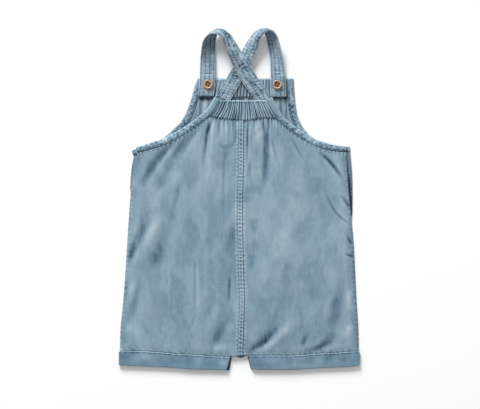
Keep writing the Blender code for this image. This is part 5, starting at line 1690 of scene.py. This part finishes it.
class OVERALLS_OT_cuffs(BuildOperator, bpy.types.Operator):
    """Make the turned-up cuffs of the legs"""
    bl_idname = "overalls.cuffs"
    bl_label = "Cuffs"

    def execute(self, context):
        for side in (LEFT, RIGHT):
            piece = build_cuff(side, context.scene.overalls_cloth, finish_named("cuff_chambray"))
        return {"FINISHED"}


class OVERALLS_OT_buttons(BuildOperator, bpy.types.Operator):
    """Make the two wooden buttons and their thread"""
    bl_idname = "overalls.buttons"
    bl_label = "Buttons"

    def execute(self, context):
        for side in (LEFT, RIGHT):
            build_button(side, finish_named("button_wood"))
            build_button_thread(side, finish_named("button_thread"))
        return {"FINISHED"}


class OVERALLS_OT_stitching(BuildOperator, bpy.types.Operator):
    """Sew the topstitching and the worked buttonholes onto the cloth"""
    bl_idname = "overalls.stitching"
    bl_label = "Stitching"

    def execute(self, context):
        if "centre_seam" not in GRIDS:
            raise RuntimeError("make the cloth pieces before their stitching")
        sew_all(context.scene.overalls_stitches, finish_named("topstitch_thread"),
                finish_named("buttonhole_thread"))
        return {"FINISHED"}


class OVERALLS_OT_stage(BuildOperator, bpy.types.Operator):
    """Lay a plain white floor, set a low, soft light beyond the straps and the camera overhead"""
    bl_idname = "overalls.stage"
    bl_label = "Stage"

    def execute(self, context):
        scene = context.scene
        stage = scene.overalls_stage
        scene.view_settings.view_transform = "Standard"
        corners = np.array([(x * FLOOR_REACH, y * FLOOR_REACH, FLOOR_DROP)
                            for x, y in ((-1, -1), (1, -1), (1, 1), (-1, 1))])
        floor = new_object("floor", corners, [(0, 1, 2, 3)],
                           plain_finish("white_floor", tuple(stage.floor_colour), 1.0))
        world = bpy.data.worlds.new("soft_sky")
        world.use_nodes = True
        world.node_tree.nodes["Background"].inputs["Color"].default_value = (1.0, 1.0, 1.0, 1.0)
        world.node_tree.nodes["Background"].inputs["Strength"].default_value = stage.sky_strength
        scene.world = world
        self.add_light("key", KEY_PLACE, KEY_SIZE, stage.key_power)
        camera = bpy.data.cameras.new("overhead")
        camera.lens = stage.lens
        camera.clip_start, camera.clip_end = 0.05, 20.0
        holder = bpy.data.objects.new("overhead", camera)
        scene.collection.objects.link(holder)
        away = stage.view_width * stage.lens / camera.sensor_width
        holder.location = (VIEW_X * MM, (VIEW_Y + SHIFT_Y) * MM, away)
        scene.camera = holder
        return {"FINISHED"}

    def add_light(self, name, place, size, power):
        """A square area light that points at the middle of the garment."""
        lamp = bpy.data.lights.new(name, "AREA")
        lamp.shape = "SQUARE"
        lamp.size = size
        lamp.energy = power
        holder = bpy.data.objects.new(name, lamp)
        holder.location = place
        holder.rotation_euler = (-holder.location).to_track_quat("-Z", "Y").to_euler()
        bpy.context.scene.collection.objects.link(holder)


class OVERALLS_PT_sidebar(bpy.types.Panel):
    """Lists the overalls' settings and the steps that make them"""
    bl_label = "Overalls"
    bl_idname = "OVERALLS_PT_sidebar"
    bl_space_type = "VIEW_3D"
    bl_region_type = "UI"
    bl_category = "Overalls"

    def draw(self, context):
        for group in settings():
            box = self.layout.box()
            for key in group.__annotations__:
                box.prop(group, key)
        for operator in OPERATORS:
            self.layout.operator(operator.bl_idname)


OPERATORS = (
    OVERALLS_OT_front, OVERALLS_OT_back, OVERALLS_OT_seam, OVERALLS_OT_gathers, OVERALLS_OT_bindings,
    OVERALLS_OT_straps, OVERALLS_OT_cuffs, OVERALLS_OT_buttons, OVERALLS_OT_stitching, OVERALLS_OT_stage,
)
GROUPS = {
    "overalls_cloth": OVERALLS_ClothSettings,
    "overalls_stitches": OVERALLS_StitchSettings,
    "overalls_buttons": OVERALLS_ButtonSettings,
    "overalls_stage": OVERALLS_StageSettings,
}


def register():
    for kind in (*GROUPS.values(), *OPERATORS, OVERALLS_PT_sidebar):
        bpy.utils.register_class(kind)
    for name, kind in GROUPS.items():
        setattr(bpy.types.Scene, name, bpy.props.PointerProperty(type=kind))


def unregister():
    for name in GROUPS:
        delattr(bpy.types.Scene, name)
    for kind in (OVERALLS_PT_sidebar, *reversed(OPERATORS), *GROUPS.values()):
        bpy.utils.unregister_class(kind)


def main():
    register()
    for operator in OPERATORS:
        group, name = operator.bl_idname.split(".")
        getattr(getattr(bpy.ops, group), name)()


if __name__ == "__main__":
    main()
